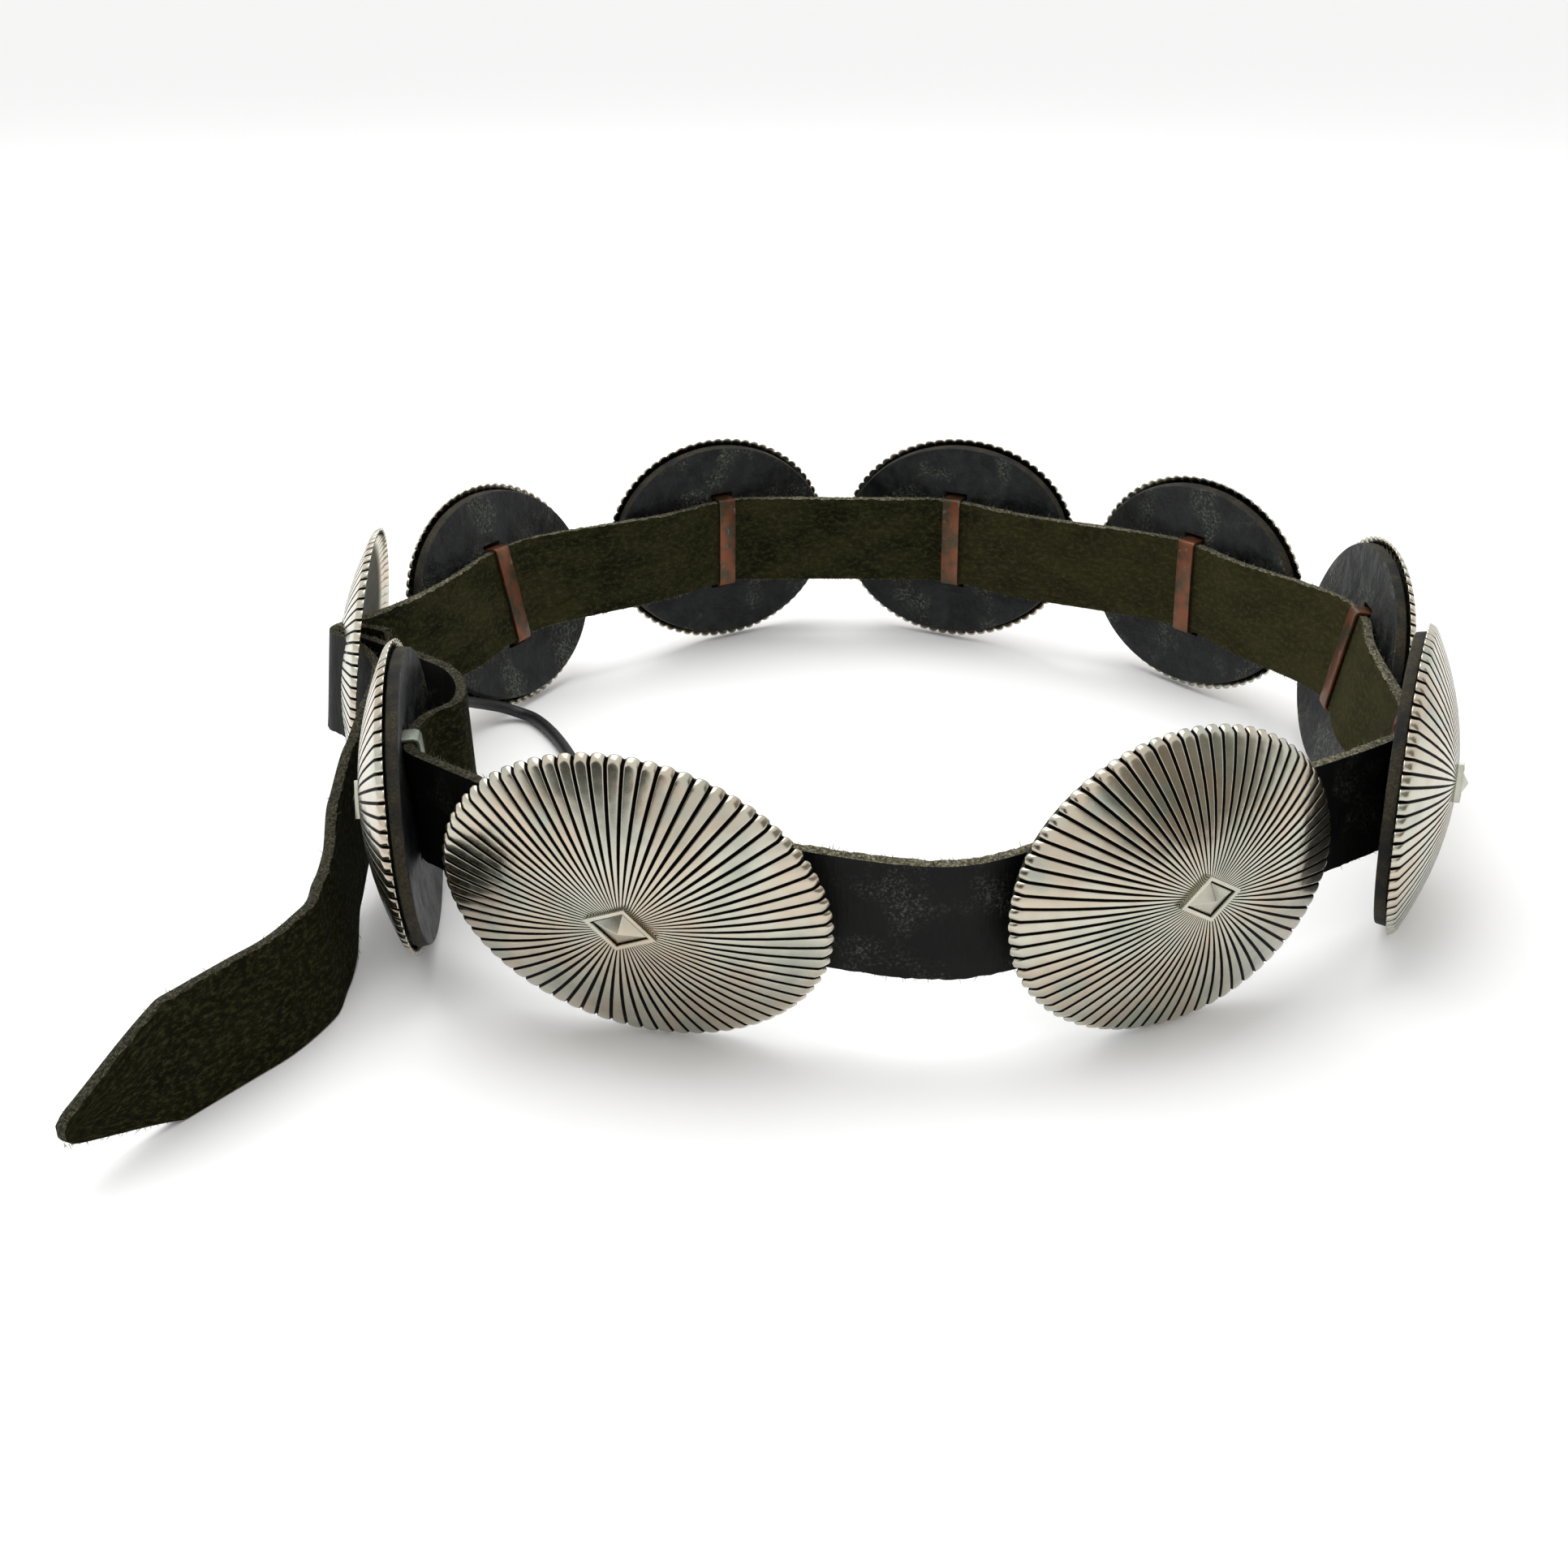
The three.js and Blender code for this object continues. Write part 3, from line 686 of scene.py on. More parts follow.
    def diamond(self, finishes: Finishes) -> bpy.types.Object:
        """The raised frame round a low four-sided pyramid, inset and extruded from a four-sided block."""
        foot = self.dome(self.frame_foot) - self.frame_sink
        top = self.rise + SIZES.silver_gauge
        depth = top + self.bezel_rise - foot
        clear_selection()
        bpy.ops.mesh.primitive_cylinder_add(vertices=4, radius=1, depth=1, location=(0, 0, foot + depth / 2))
        block = bpy.context.object
        block.rotation_euler = (0, 0, math.pi / 2)
        block.scale = (self.bezel_half[1], self.bezel_half[0], depth)
        bpy.ops.object.transform_apply(location=True, rotation=True, scale=True)
        bpy.ops.object.mode_set(mode="EDIT")
        mesh = bmesh.from_edit_mesh(block.data)
        mesh.verts.layers.float.new("recess")
        for face in mesh.faces:
            face.select = face.normal.z > 0.9
        bmesh.update_edit_mesh(block.data)
        bpy.ops.mesh.inset(thickness=self.bezel_frame, depth=0)
        bpy.ops.mesh.inset(thickness=self.well_wall, depth=-self.well_depth)
        self.mark(block, 1.0)
        bpy.ops.mesh.inset(thickness=self.well_floor, depth=0)
        self.mark(block, 1.0)
        bpy.ops.mesh.inset(thickness=self.pyramid_inset, depth=self.pyramid_foot)
        self.mark(block, 0.0)
        bpy.ops.mesh.extrude_region_move(TRANSFORM_OT_translate={"value": (0, 0, self.pyramid_rise)})
        bpy.ops.mesh.merge(type="CENTER")
        bpy.ops.object.mode_set(mode="OBJECT")
        block.data.materials.append(finishes.silver)
        finish_modifier(
            block, "BEVEL", width=self.frame_round, segments=3, limit_method="ANGLE", angle_limit=0.5)
        activate(block)
        bpy.ops.object.shade_smooth_by_angle(angle=math.radians(40))
        return block

    def mark(self, block: bpy.types.Object, recess: float) -> None:
        """Gives the selected vertices a recess value: 1 for the well's black floor, 0 for bright metal."""
        mesh = bmesh.from_edit_mesh(block.data)
        layer = mesh.verts.layers.float["recess"]
        for vertex in mesh.verts:
            if vertex.select:
                vertex[layer] = recess
        bmesh.update_edit_mesh(block.data)


@dataclass
class CopperLoop:
    """A copper strip behind a plate: over the strap's inner side, with a leg through each slot."""

    bow: float = 0.35
    corner: float = 1.1
    leg_share: float = 0.55
    edge_round: float = 0.18
    bleached: float = 0.0

    def make(self, rise: float, finishes: Finishes) -> bpy.types.Object:
        """Extrudes the strip's edge along its bends, then thickens it.

        Args:
            rise: The plate's rise, which the legs reach up into.
            finishes: The belt's materials.

        Returns:
            The strip in the plate's own millimetres.
        """
        half = SIZES.strap_width / 2 + SIZES.clearance + SIZES.loop_gauge / 2
        back = -SIZES.loop_reach - SIZES.loop_gauge / 2
        top = rise * self.leg_share
        corner = self.corner
        leg = [(half, top), (half, back + corner), (half - corner * 0.3, back + corner * 0.3),
               (half - corner, back), (half * 0.4, back - self.bow * 0.4)]
        route = [(-y, z) for y, z in leg] + leg[::-1]
        clear_selection()
        bpy.ops.mesh.primitive_plane_add(size=1, location=(0, 0, 0))
        strip = bpy.context.object
        bpy.ops.object.mode_set(mode="EDIT")
        bpy.ops.mesh.delete(type="ONLY_FACE")
        mesh = bmesh.from_edit_mesh(strip.data)
        width = SIZES.loop_width / 2
        mesh.verts.ensure_lookup_table()
        for vertex in [v for v in mesh.verts if v.co.y > 0]:
            mesh.verts.remove(vertex)
        mesh.verts.ensure_lookup_table()
        for vertex in mesh.verts:
            vertex.co = (math.copysign(width, vertex.co.x), route[0][0], route[0][1])
            vertex.select = True
        for edge in mesh.edges:
            edge.select = True
        bmesh.update_edit_mesh(strip.data)
        for (y0, z0), (y1, z1) in zip(route, route[1:]):
            bpy.ops.mesh.extrude_edges_move(TRANSFORM_OT_translate={"value": (0, y1 - y0, z1 - z0)})
        bpy.ops.mesh.select_all(action="SELECT")
        bpy.ops.mesh.normals_make_consistent(inside=False)
        bpy.ops.object.mode_set(mode="OBJECT")
        finish_modifier(strip, "SOLIDIFY", thickness=SIZES.loop_gauge * 0.9, offset=0)
        finish_modifier(
            strip, "BEVEL", width=self.edge_round, segments=2, limit_method="ANGLE", angle_limit=0.7)
        strip.data.materials.append(finishes.copper)
        layer = strip.data.attributes.new("recess", "FLOAT", "POINT")
        layer.data.foreach_set("value", [self.bleached] * len(strip.data.vertices))
        activate(strip)
        bpy.ops.object.shade_smooth_by_angle(angle=math.radians(40))
        return strip


@dataclass
class Conchos:
    """The nine plates, each with its diamond and its copper strip."""

    shift: Vector
    finishes: Finishes
    bleach: float = 0.65

    def make(self) -> list[bpy.types.Object]:
        """Models one plate and puts a copy at each row."""
        plate = FlutedPlate(SIZES.plate_rise)
        pieces = []
        for row in PLATES:
            shell = plate.shell(f"{row.name}_plate", self.finishes)
            diamond = plate.diamond(self.finishes)
            bleached = self.bleach if row.name == BLEACHED_LOOP else 0.0
            strip = CopperLoop(bleached=bleached).make(SIZES.plate_rise, self.finishes)
            roll = Matrix.Rotation(math.radians(row.roll), 4, "Z")
            move_mesh(shell, roll)
            move_mesh(diamond, roll)
            join(shell, [diamond, strip])
            move_mesh(shell, plate_matrix(row, self.shift))
            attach(shell, BODY)
            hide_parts(row.name)
            pieces.append(shell)
        return pieces


@dataclass
class Backings:
    """The oval leathers behind the plates, with slots for the copper strips."""

    shift: Vector
    finishes: Finishes
    sides: int = 96
    rings: int = 9
    edge_round: float = 0.5
    dish_curve: float = 1.4
    slot_extra: tuple = (2.2, 1.6)
    slot_outward: float = 0.5

    def one(self, row: PlateRow) -> bpy.types.Object:
        """Models one backing in its plate's own millimetres, its middle pressed up into the dome."""
        long_half = SIZES.plate_length / 2 - SIZES.backing_setback
        short_half = SIZES.plate_height / 2 - SIZES.backing_setback
        clear_selection()
        bpy.ops.mesh.primitive_circle_add(vertices=self.sides, radius=1, fill_type="NGON")
        oval = bpy.context.object
        oval.name = row.name.replace("concho", "backing") + "_leather"
        oval.scale = (long_half, short_half, 1)
        bpy.ops.object.transform_apply(location=True, rotation=True, scale=True)
        bpy.ops.object.mode_set(mode="EDIT")
        bpy.ops.mesh.select_all(action="SELECT")
        for _ in range(self.rings):
            bpy.ops.mesh.inset(thickness=short_half / (self.rings + 2), depth=0)
        bpy.ops.object.mode_set(mode="OBJECT")
        for vertex in oval.data.vertices:
            share = math.hypot(vertex.co.x / long_half, vertex.co.y / short_half)
            flank = min(1.0, (1 - share) / (1 - SIZES.dish_share))
            vertex.co.z = SIZES.backing_dish * (1 - (1 - flank) ** self.dish_curve) - SIZES.clearance
        finish_modifier(oval, "SOLIDIFY", thickness=SIZES.backing_thickness, offset=-1)
        finish_modifier(
            oval, "BEVEL", width=self.edge_round, segments=3, limit_method="ANGLE", angle_limit=0.8)
        move_mesh(oval, Matrix.Rotation(math.radians(row.roll), 4, "Z"))
        oval.data.materials.append(self.finishes.backing)
        oval.data.materials.append(self.finishes.backing_cut)
        for side in (-1, 1):
            self.cut_slot(oval, side)
        for face in oval.data.polygons:
            face.material_index = 1 if abs(face.normal.z) < 0.5 else 0
        activate(oval)
        bpy.ops.object.shade_smooth_by_angle(angle=math.radians(50))
        return oval

    def cut_slot(self, oval: bpy.types.Object, side: int) -> None:
        """Cuts the slot for one leg of the copper strip."""
        clear_selection()
        y = side * (SIZES.strap_width / 2 + SIZES.clearance + SIZES.loop_gauge / 2)
        bpy.ops.mesh.primitive_cube_add(size=1, location=(0, y + side * self.slot_outward, 0))
        cutter = bpy.context.object
        cutter.scale = (
            SIZES.loop_width + self.slot_extra[0], SIZES.loop_gauge + self.slot_extra[1],
            4 * SIZES.backing_thickness)
        bpy.ops.object.transform_apply(location=True, rotation=True, scale=True)
        finish_modifier(oval, "BOOLEAN", object=cutter, operation="DIFFERENCE", solver="EXACT")
        bpy.data.objects.remove(cutter)

    def make(self) -> list[bpy.types.Object]:
        """Models every backing and puts it behind its plate."""
        pieces = []
        for row in PLATES:
            oval = self.one(row)
            move_mesh(oval, plate_matrix(row, self.shift))
            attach(oval, BODY)
            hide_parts(row.name.replace("concho", "backing"))
            pieces.append(oval)
        return pieces


@dataclass
class Buckle:
    """The slotted plate with its bar."""

    shift: Vector
    finishes: Finishes
    bar_round: float = 0.4
    bar_tarnish: float = 0.4

    def make(self) -> bpy.types.Object:
        """Cuts the slot in a fluted plate and solders the bar across it."""
        plate = FlutedPlate(SIZES.buckle_rise)
        roll = Matrix.Rotation(math.radians(BUCKLE.roll), 4, "Z")
        shell = plate.shell("buckle_plate", self.finishes)
        move_mesh(shell, roll)
        reach = SIZES.wrap_radius + SIZES.strap_thickness / 2 + 2 * SIZES.clearance
        length = 2 * reach + SIZES.slot_room
        height = SIZES.strap_width + 8 * SIZES.clearance
        clear_selection()
        bpy.ops.mesh.primitive_cube_add(
            size=1, location=(SIZES.bar_from_centre + SIZES.slot_room / 2, -SIZES.strap_drop, 0))
        cutter = bpy.context.object
        cutter.scale = (length, height, 4 * SIZES.plate_rise)
        bpy.ops.object.transform_apply(location=True, rotation=True, scale=True)
        finish_modifier(shell, "BOOLEAN", object=cutter, operation="DIFFERENCE", solver="EXACT")
        bpy.data.objects.remove(cutter)
        diamond = plate.diamond(self.finishes)
        move_mesh(diamond, roll)
        join(shell, [diamond])
        clear_selection()
        bpy.ops.mesh.primitive_cylinder_add(
            vertices=24, radius=SIZES.bar_diameter / 2, depth=height + 2 * SIZES.bar_diameter,
            rotation=(math.pi / 2, 0, 0),
            location=(SIZES.bar_from_centre, -SIZES.strap_drop, SIZES.bar_above_rim))
        bar = bpy.context.object
        bpy.ops.object.transform_apply(location=True, rotation=True, scale=True)
        finish_modifier(bar, "BEVEL", width=self.bar_round, segments=3, limit_method="ANGLE")
        bar.data.materials.append(self.finishes.silver)
        layer = bar.data.attributes.new("recess", "FLOAT", "POINT")
        layer.data.foreach_set("value", [self.bar_tarnish] * len(bar.data.vertices))
        bar.data.shade_smooth()
        join(shell, [bar])
        move_mesh(shell, plate_matrix(BUCKLE, self.shift))
        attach(shell, BODY)
        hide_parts("buckle")
        return shell


@dataclass
class Stop:
    """One stop of the strap's middle line, in the ring's millimetres."""

    place: Vector
    heading: float
    tilt: Vector


@dataclass
class Section:
    """One section of the strap: its middle, the way up its width and the way out of its grain side."""

    middle: Vector
    up: Vector
    out: Vector
    run: float = 0.0


def table_stop(row: StrapRow) -> Stop:
    """A stop from a row of the strap's table."""
    heading = math.radians(row.heading)
    lean = math.tan(math.radians(row.lean))
    place = Vector((row.x * SIZES.ring_width, row.y * SIZES.ring_depth, row.up * SIZES.strap_width))
    return Stop(place, heading, Vector((-math.sin(heading), math.cos(heading), 0)) * lean)


def plate_tilt(row: PlateRow) -> Vector:
    """How far a plate leans in plan for each millimetre of height."""
    up = plate_axes(row)[1]
    return Vector((up.x / up.z, up.y / up.z, 0))


def strap_at_plate(row: PlateRow) -> Vector:
    """The middle of the strap where it passes behind a plate."""
    return plate_middle(row) - plate_axes(row)[2] * SIZES.strap_behind_rim


def plate_stops(row: PlateRow, before: Vector, after: Vector) -> list[Stop]:
    """The strap at a plate: flat in the loop, and bent inwards to its neighbour on each side.

    Args:
        row: The plate's row.
        before: The strap's last place before this plate.
        after: Its next place.

    Returns:
        Four stops, in the way of travel.
    """
    along, _, face = plate_axes(row)
    middle, tilt = strap_at_plate(row), plate_tilt(row)
    heading = math.radians(row.yaw - 180)

    def flat(side: int) -> Stop:
        return Stop(middle - along * (side * FLAT_REACH), heading, tilt)

    def bent(side: int, neighbour: Vector) -> Stop:
        way = neighbour - middle
        way.z = 0
        bend = max(math.radians(LEAST_BEND), math.atan2(-way.dot(face), -side * way.dot(along)))
        inward = BEND_SHARE * (BEND_REACH - FLAT_REACH) * math.tan(bend)
        return Stop(middle - along * (side * BEND_REACH) - face * inward, heading - side * bend, tilt)

    return [bent(-1, before), flat(-1), flat(1), bent(1, after)]


def bar_stops(radius: float, start: float, end: float, count: int) -> list[Stop]:
    """Stops on a circle round the buckle's bar, from one bearing to another in degrees."""
    along, _, face = plate_axes(BUCKLE)
    axis = plate_middle(BUCKLE) + along * SIZES.bar_from_centre + face * SIZES.bar_above_rim
    axis.z -= SIZES.strap_drop
    stops = []
    for i in range(count):
        bearing = math.radians(start + (end - start) * i / (count - 1))
        place = axis + Vector((radius * math.cos(bearing), radius * math.sin(bearing), 0))
        stops.append(Stop(place, bearing - math.pi / 2, plate_tilt(BUCKLE)))
    return stops


def strap_stops() -> list[Stop]:
    """Every stop of the strap, from the tail's tip to the folded end."""
    wrap = bar_stops(SIZES.wrap_radius, 230, 135, 3)
    slack = [table_stop(row) for row in SIDE_BOW]
    bow = table_stop(FRONT_BOW)
    chain = [wrap[2].place] + [strap_at_plate(row) for row in PLATES] + [slack[0].place]
    stops = [table_stop(row) for row in TAIL] + wrap
    for i, row in enumerate(PLATES):
        before = bow.place if i == SLACK_AFTER else chain[i]
        after = bow.place if i + 1 == SLACK_AFTER else chain[i + 2]
        stops += plate_stops(row, before, after)
        if i + 1 == SLACK_AFTER:
            stops.append(bow)
    return stops + slack + bar_stops(SIZES.fold_radius, 235, 60, 5) + [table_stop(FOLDED_END)]


def hermite(start: float, end: float, leave: float, arrive: float, share: float) -> float:
    """A value on a cubic between two stops."""
    s2 = share * share
    s3 = s2 * share
    from_start = (2 * s3 - 3 * s2 + 1) * start + (s3 - 2 * s2 + share) * leave
    return from_start + (3 * s2 - 2 * s3) * end + (s3 - s2) * arrive


def strap_sections(step: float) -> list[Section]:
    """Sections along the strap, about step millimetres apart."""
    stops = strap_stops()
    middles, tilts = [], []
    for a, b in zip(stops, stops[1:]):
        chord = math.hypot(b.place.x - a.place.x, b.place.y - a.place.y)
        count = max(2, round(chord / step))
        last = b is stops[-1]
        for k in range(count + 1 if last else count):
            share = k / count
            ease = share * share * (3 - 2 * share)
            x = hermite(a.place.x, b.place.x, chord * math.cos(a.heading), chord * math.cos(b.heading), share)
            y = hermite(a.place.y, b.place.y, chord * math.sin(a.heading), chord * math.sin(b.heading), share)
            middles.append(Vector((x, y, a.place.z + (b.place.z - a.place.z) * ease)))
            tilts.append(a.tilt.lerp(b.tilt, ease))
    sections = []
    run = 0.0
    for i, middle in enumerate(middles):
        travel = middles[min(len(middles) - 1, i + 1)] - middles[max(0, i - 1)]
        up = Vector((tilts[i].x, tilts[i].y, 1)).normalized()
        if i:
            run += (middle - middles[i - 1]).length
        sections.append(Section(middle, up, up.cross(travel).normalized(), run))
    return sections


@dataclass
class Strap:
    """The long strap: black grain outside, olive suede inside and open fibres along its cut edges."""

    shift: Vector
    finishes: Finishes
    step: float = 1.5
    columns: int = 10
    edge_columns: int = 3
    waver: float = 0.3
    edge_belly: float = 0.25
    blunt_tip: float = 0.55
    blunt_reach: float = 4.0
    painted_shade_left_of: float = -95.0
    paler_from: float = 20.0
    paler_over: float = 120.0

    def outline(self, half: float) -> list[tuple[float, float, Leather, float]]:
        """The strap's section, anticlockwise seen along it: height, side, finish and place across."""
        thick = SIZES.strap_thickness / 2
        points = []
        for i in range(self.columns):
            share = i / self.columns
            points.append((half * (1 - 2 * share), thick, Leather.GRAIN, share))
        for i in range(self.edge_columns):
            share = i / self.edge_columns
            belly = self.edge_belly * math.sin(math.pi * share)
            points.append((-half - belly, thick * (1 - 2 * share), Leather.EDGE, 1 + share * 0.1))
        for i in range(self.columns):
            share = i / self.columns
            points.append((-half * (1 - 2 * share), -thick, Leather.SUEDE, 1 - share))
        for i in range(self.edge_columns):
            share = i / self.edge_columns
            belly = self.edge_belly * math.sin(math.pi * share)
            points.append((half + belly, -thick * (1 - 2 * share), Leather.EDGE, -share * 0.1))
        return points

    def make(self) -> bpy.types.Object:
        """Sweeps the section along the strap's stops."""
        sections = strap_sections(self.step)
        picker = random.Random(7)
        points, faces, kinds, across, runs, pale = [], [], [], [], [], []
        count = 2 * (self.columns + self.edge_columns)
        for section in sections:
            reach = SIZES.tip_width + (SIZES.strap_width - SIZES.tip_width) * section.run / SIZES.tip_length
            half = min(SIZES.strap_width, reach) / 2
            rounded = min(1.0, self.blunt_tip + section.run / self.blunt_reach)
            for rise, side, kind, share in self.outline(half * rounded):
                shake = picker.uniform(-self.waver, self.waver) if kind is Leather.EDGE else 0.0
                place = section.middle + section.up * (rise + shake) + section.out * (side + shake * 0.4)
                points.append((place + self.shift) * MM)
                across.append(share * SIZES.strap_width * MM)
                runs.append(section.run * MM)
                pale.append(self.paleness(section))
        for i in range(len(sections) - 1):
            for k in range(count):
                a, b = i * count + k, i * count + (k + 1) % count
                faces.append((a, b, b + count, a + count))
                kinds.append(self.outline(1.0)[k][2].value)
        faces.append(tuple(reversed(range(count))))
        kinds.append(Leather.EDGE.value)
        faces.append(tuple(range(len(points) - count, len(points))))
        kinds.append(Leather.EDGE.value)
        piece = new_object("strap_leather", points, faces)
        for material in (self.finishes.grain, self.finishes.suede, self.finishes.edge):
            piece.data.materials.append(material)
        piece.data.polygons.foreach_set("material_index", kinds)
        piece.data.attributes.new("pale", "FLOAT", "POINT").data.foreach_set("value", pale)
        layer = piece.data.uv_layers.new(name="Run")
        for loop in piece.data.loops:
            layer.data[loop.index].uv = (runs[loop.vertex_index], across[loop.vertex_index])
        activate(piece)
        bpy.ops.object.shade_smooth_by_angle(angle=math.radians(45))
        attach(piece, BODY)
        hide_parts("strap")
        return piece

    def paleness(self, section: Section) -> float:
        """The suede's tone: up to 1 paler towards the right of the ring, -1 for painted shade on the front-left
        stretches by the tail and concho_9.
        """
        # painted shade: the front-left stretches get -1
        if section.middle.x < self.painted_shade_left_of and section.middle.y < 0:
            return -1.0
        return min(1.0, max(0.0, (section.middle.x - self.paler_from) / self.paler_over))


@dataclass
class EdgeFibres:
    """Stray fibres that stand out of the strap's cut edges, spread evenly along it."""

    shift: Vector
    finishes: Finishes
    spacing: float = 0.6
    thickness: float = 0.09
    longest: float = 1.6
    shortest: float = 0.25
    per_place: int = 3
    root_sink: float = 0.1
    above_floor: float = 1.2
    splay: float = 0.9
    curl: float = 0.35
    seed: int = 11

    def make(self) -> bpy.types.Object:
        """Grows thin curved spikes from the upper and lower edges."""
        picker = random.Random(self.seed)
        sections = strap_sections(self.spacing)
        points, faces = [], []
        for section in sections:
            half = min(SIZES.strap_width, SIZES.tip_width
                       + (SIZES.strap_width - SIZES.tip_width) * section.run / SIZES.tip_length) / 2
            for rise in (1, -1):
                for _ in range(self.per_place):
                    side = picker.uniform(-1, 0.7) * SIZES.strap_thickness / 2
                    root = section.middle + section.up * (rise * (half - self.root_sink)) + section.out * side
                    if root.z < self.above_floor and rise < 0:
                        continue
                    way = section.up * rise + Vector([picker.uniform(-self.splay, self.splay) for _ in range(3)])
                    length = self.longest * picker.random() ** 2 + self.shortest
                    self.spike(points, faces, root, way.normalized(), length, picker)
        piece = new_object("strap_fibres", [(Vector(p) + self.shift) * MM for p in points], faces)
        piece.data.materials.append(self.finishes.edge)
        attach(piece, BODY)
        return piece

    def spike(self, points: list, faces: list, root: Vector, way: Vector, length: float,
              picker: random.Random) -> None:
        """Adds one three-sided spike with a bend in the middle."""
        side = way.orthogonal().normalized()
        other = way.cross(side)
        turn = Vector([picker.uniform(-self.curl, self.curl) for _ in range(3)])
        start = len(points)
        for share, wide in ((0.0, 1.0), (0.55, 0.75)):
            centre = root + (way + turn * share) * (length * share)
            for k in range(3):
                angle = 2 * math.pi * k / 3
                spoke = side * math.cos(angle) + other * math.sin(angle)
                points.append(centre + spoke * (self.thickness * wide))
        points.append(root + (way + turn) * length)
        for k in range(3):
            j = (k + 1) % 3
            faces.append((start + k, start + j, start + 3 + j, start + 3 + k))
            faces.append((start + 3 + k, start + 3 + j, start + 6))
        faces.append((start + 2, start + 1, start))


@dataclass
class Lace:
    """The thin thong that trails from the strap's folded end down to the floor."""

    shift: Vector
    finishes: Finishes

    def make(self) -> bpy.types.Object:
        """Draws the lace as one open curve."""
        curve = bpy.data.curves.new("tie_lace_cord", "CURVE")
        curve.dimensions = "3D"
        curve.bevel_depth = SIZES.lace_diameter / 2 * MM
        curve.bevel_resolution = 5
        curve.resolution_u = 8
        curve.use_fill_caps = True
        spline = curve.splines.new("BEZIER")
        places = [(Vector(point) + self.shift) * MM for point in LACE_POINTS]
        spline.bezier_points.add(len(places) - 1)
        for point, place in zip(spline.bezier_points, places):
            point.co = place
            point.handle_left_type = point.handle_right_type = "AUTO"
        piece = bpy.data.objects.new("tie_lace_cord", curve)
        bpy.context.scene.collection.objects.link(piece)
        piece.data.materials.append(self.finishes.lace)
        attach(piece, BODY)
        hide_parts("tie_lace")
        return piece


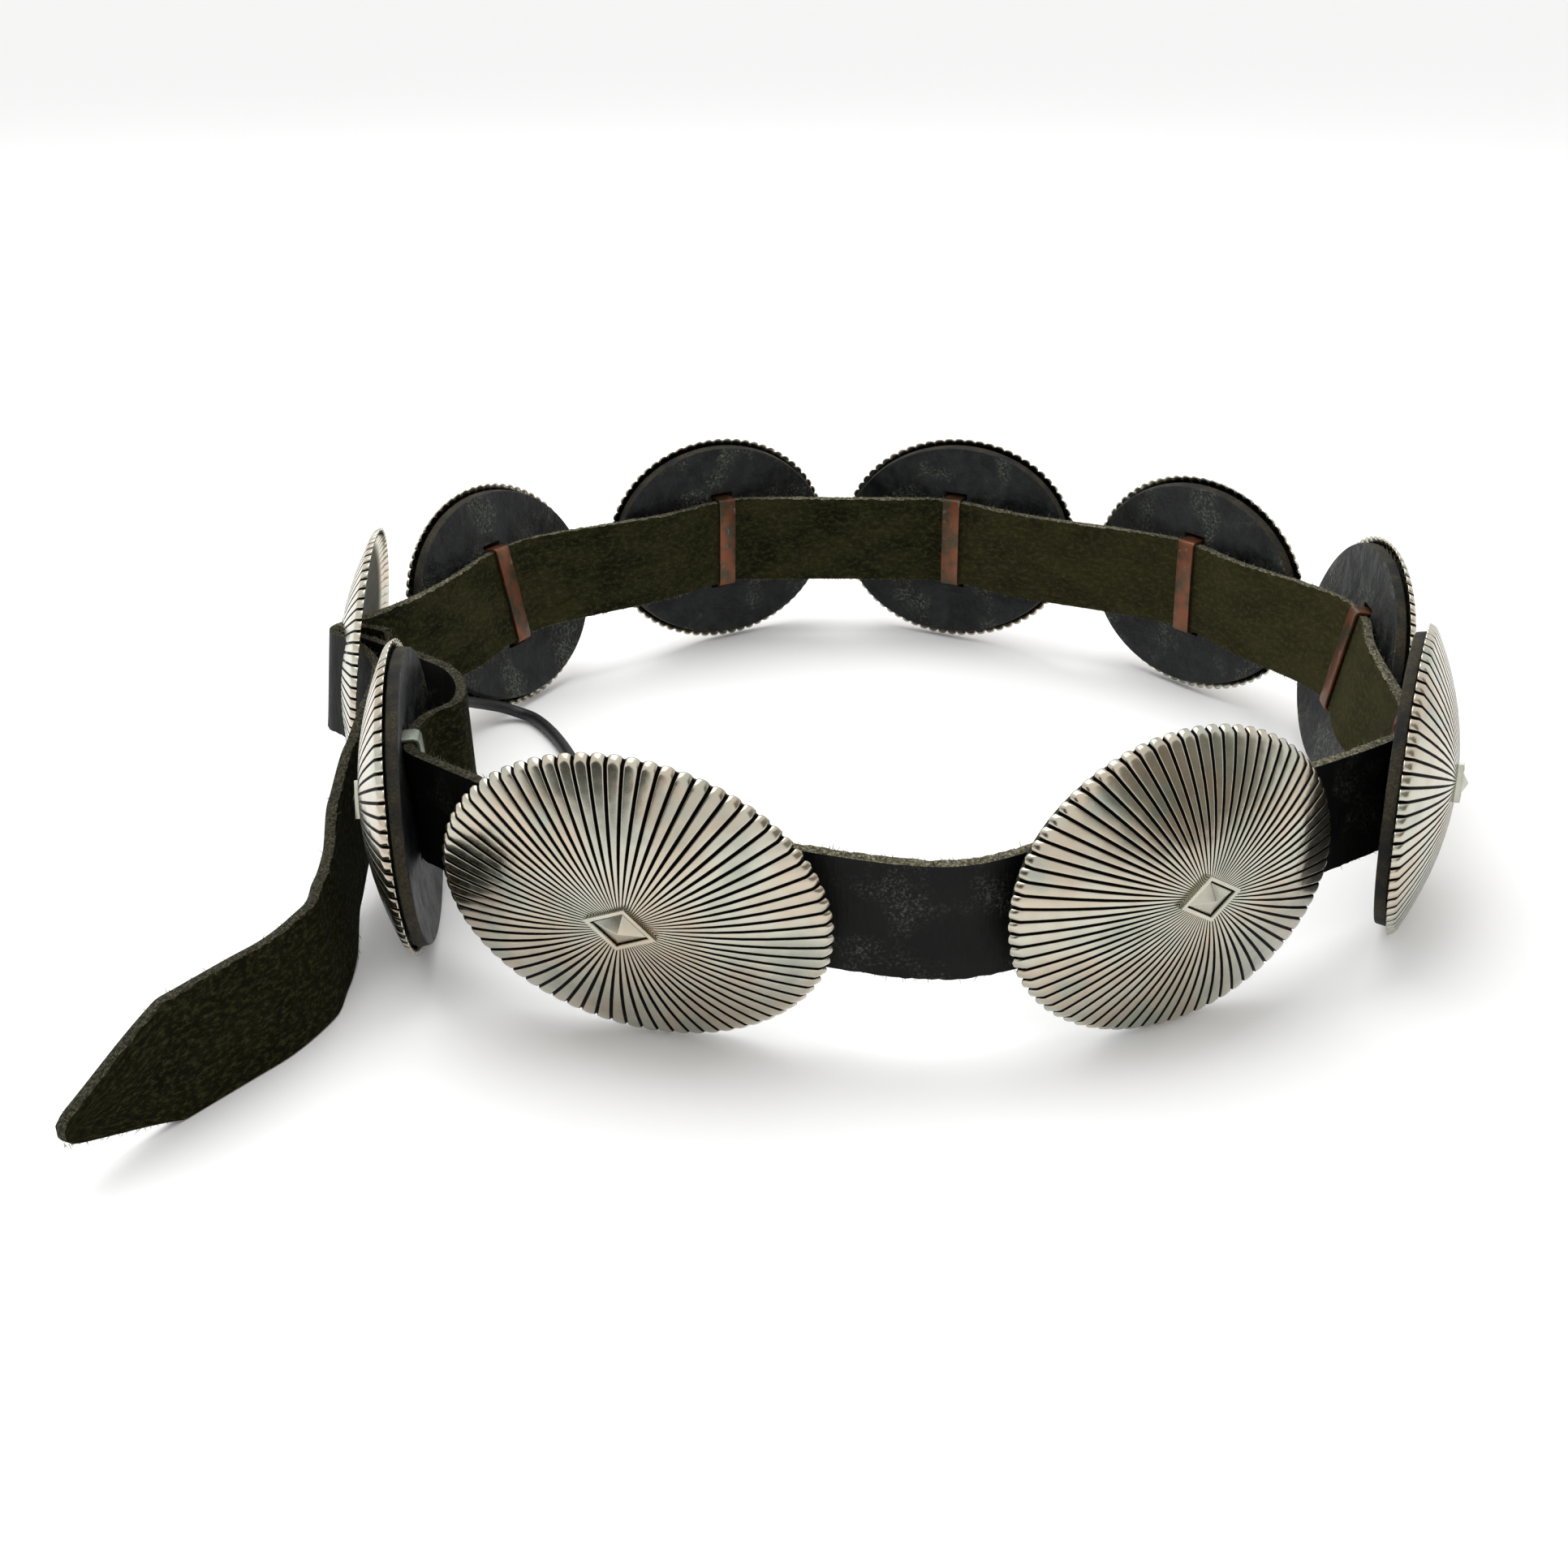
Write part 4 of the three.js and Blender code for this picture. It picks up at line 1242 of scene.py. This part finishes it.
@dataclass
class Studio:
    """The white sweep, the lights and the camera."""

    shift: Vector
    camera_place: tuple = (-25.0, -484.0, 233.26)
    camera_tilt: float = 64.493
    focal_mm: float = 39.90
    surround: float = 1.05
    patch_waver: float = 0.22
    key_place: tuple = (-0.35, 0.45, 1.5)
    key_size: float = 1.4
    key_power: float = 16.0
    dark_patches: tuple = (
        ((-0.58, -0.74, 0.38), 0.965, 0.89, (0.07, 0.075, 0.07, 1)),
        ((0.82, -0.42, 0.38), 0.96, 0.84, (0.26, 0.245, 0.21, 1)),
    )

    def camera(self) -> None:
        """Sets the camera at the viewing angle of the reference."""
        data = bpy.data.cameras.new("camera")
        data.lens = self.focal_mm
        data.sensor_width = 36.0
        data.sensor_fit = "HORIZONTAL"
        data.clip_start = 0.01
        camera = bpy.data.objects.new("camera", data)
        camera.location = (Vector(self.camera_place) + self.shift) * MM
        camera.rotation_euler = (math.radians(self.camera_tilt), 0, 0)
        bpy.context.scene.collection.objects.link(camera)
        bpy.context.scene.camera = camera

    def floor(self) -> None:
        """Lays the pale floor."""
        clear_selection()
        bpy.ops.mesh.primitive_plane_add(size=40, location=(0, 0, 0))
        floor = bpy.context.object
        floor.name = "studio_floor"
        floor.data.materials.append(studio_floor())

    def world(self) -> None:
        """A surround that looks plain white, with two darker patches which only the silver reflects."""
        world = bpy.data.worlds.new("surround")
        world.use_nodes = True
        bpy.context.scene.world = world
        tree = world.node_tree
        place = add_node(tree, "ShaderNodeTexCoord", {}, {}).outputs["Generated"]
        cloud = add_node(tree, "ShaderNodeTexNoise", {"Scale": 3.0, "Detail": 2.0}, {"Vector": place})
        white = (1.0, 1.0, 1.0, 1.0)
        shade = white
        for aim, near, far, dark in self.dark_patches:
            dot = add_node(tree, "ShaderNodeVectorMath", {"operation": "DOT_PRODUCT"}, {0: place})
            dot.inputs[1].default_value = Vector(aim).normalized()
            wavy = add_node(
                tree, "ShaderNodeMath", {"operation": "MULTIPLY_ADD", 1: self.patch_waver},
                {0: cloud.outputs[0], 2: dot.outputs["Value"]})
            middle = self.patch_waver / 2
            span = {"interpolation_type": "SMOOTHSTEP", "From Min": far + middle, "From Max": near + middle}
            share = add_node(tree, "ShaderNodeMapRange", span, {"Value": wavy.outputs[0]}).outputs[0]
            mix = add_node(tree, "ShaderNodeMix", {"data_type": "RGBA", 7: dark}, {0: share})
            if isinstance(shade, tuple):
                mix.inputs[6].default_value = shade
            else:
                tree.links.new(shade, mix.inputs[6])
            shade = mix.outputs[2]
        seen = add_node(tree, "ShaderNodeLightPath", {}, {}).outputs["Is Camera Ray"]
        plain = add_node(tree, "ShaderNodeMix", {"data_type": "RGBA", 7: white}, {0: seen, 6: shade})
        tree.links.new(plain.outputs[2], tree.nodes["Background"].inputs[0])
        tree.nodes["Background"].inputs[1].default_value = self.surround

    def key(self) -> None:
        """Adds the one square soft light, which looks at the belt's middle."""
        data = bpy.data.lights.new("key", "AREA")
        data.shape = "SQUARE"
        data.size = self.key_size
        data.energy = self.key_power
        lamp = bpy.data.objects.new("key", data)
        lamp.location = self.key_place
        lamp.rotation_euler = (-Vector(self.key_place)).to_track_quat("-Z", "Y").to_euler()
        bpy.context.scene.collection.objects.link(lamp)

    def make(self) -> None:
        """Sets up the whole studio."""
        self.camera()
        self.floor()
        self.world()
        self.key()
        bpy.context.scene.view_settings.view_transform = "Standard"


def main() -> None:
    """Builds the belt, piece by piece."""
    logging.basicConfig(level=logging.INFO, format="%(name)s: %(message)s")
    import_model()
    shift = frame_shift()
    log.info("ring middle at %s mm", [round(v, 2) for v in shift])
    Studio(shift).make()
    finishes = Finishes()
    made = [Lace(shift, finishes).make()]
    made += Conchos(shift, finishes).make()
    made += Backings(shift, finishes).make()
    for kind in (Buckle, Strap, EdgeFibres):
        made.append(kind(shift, finishes).make())
    for piece in made:
        log.info("%s made", piece.name)
    clear_selection()


if __name__ == "__main__":
    main()
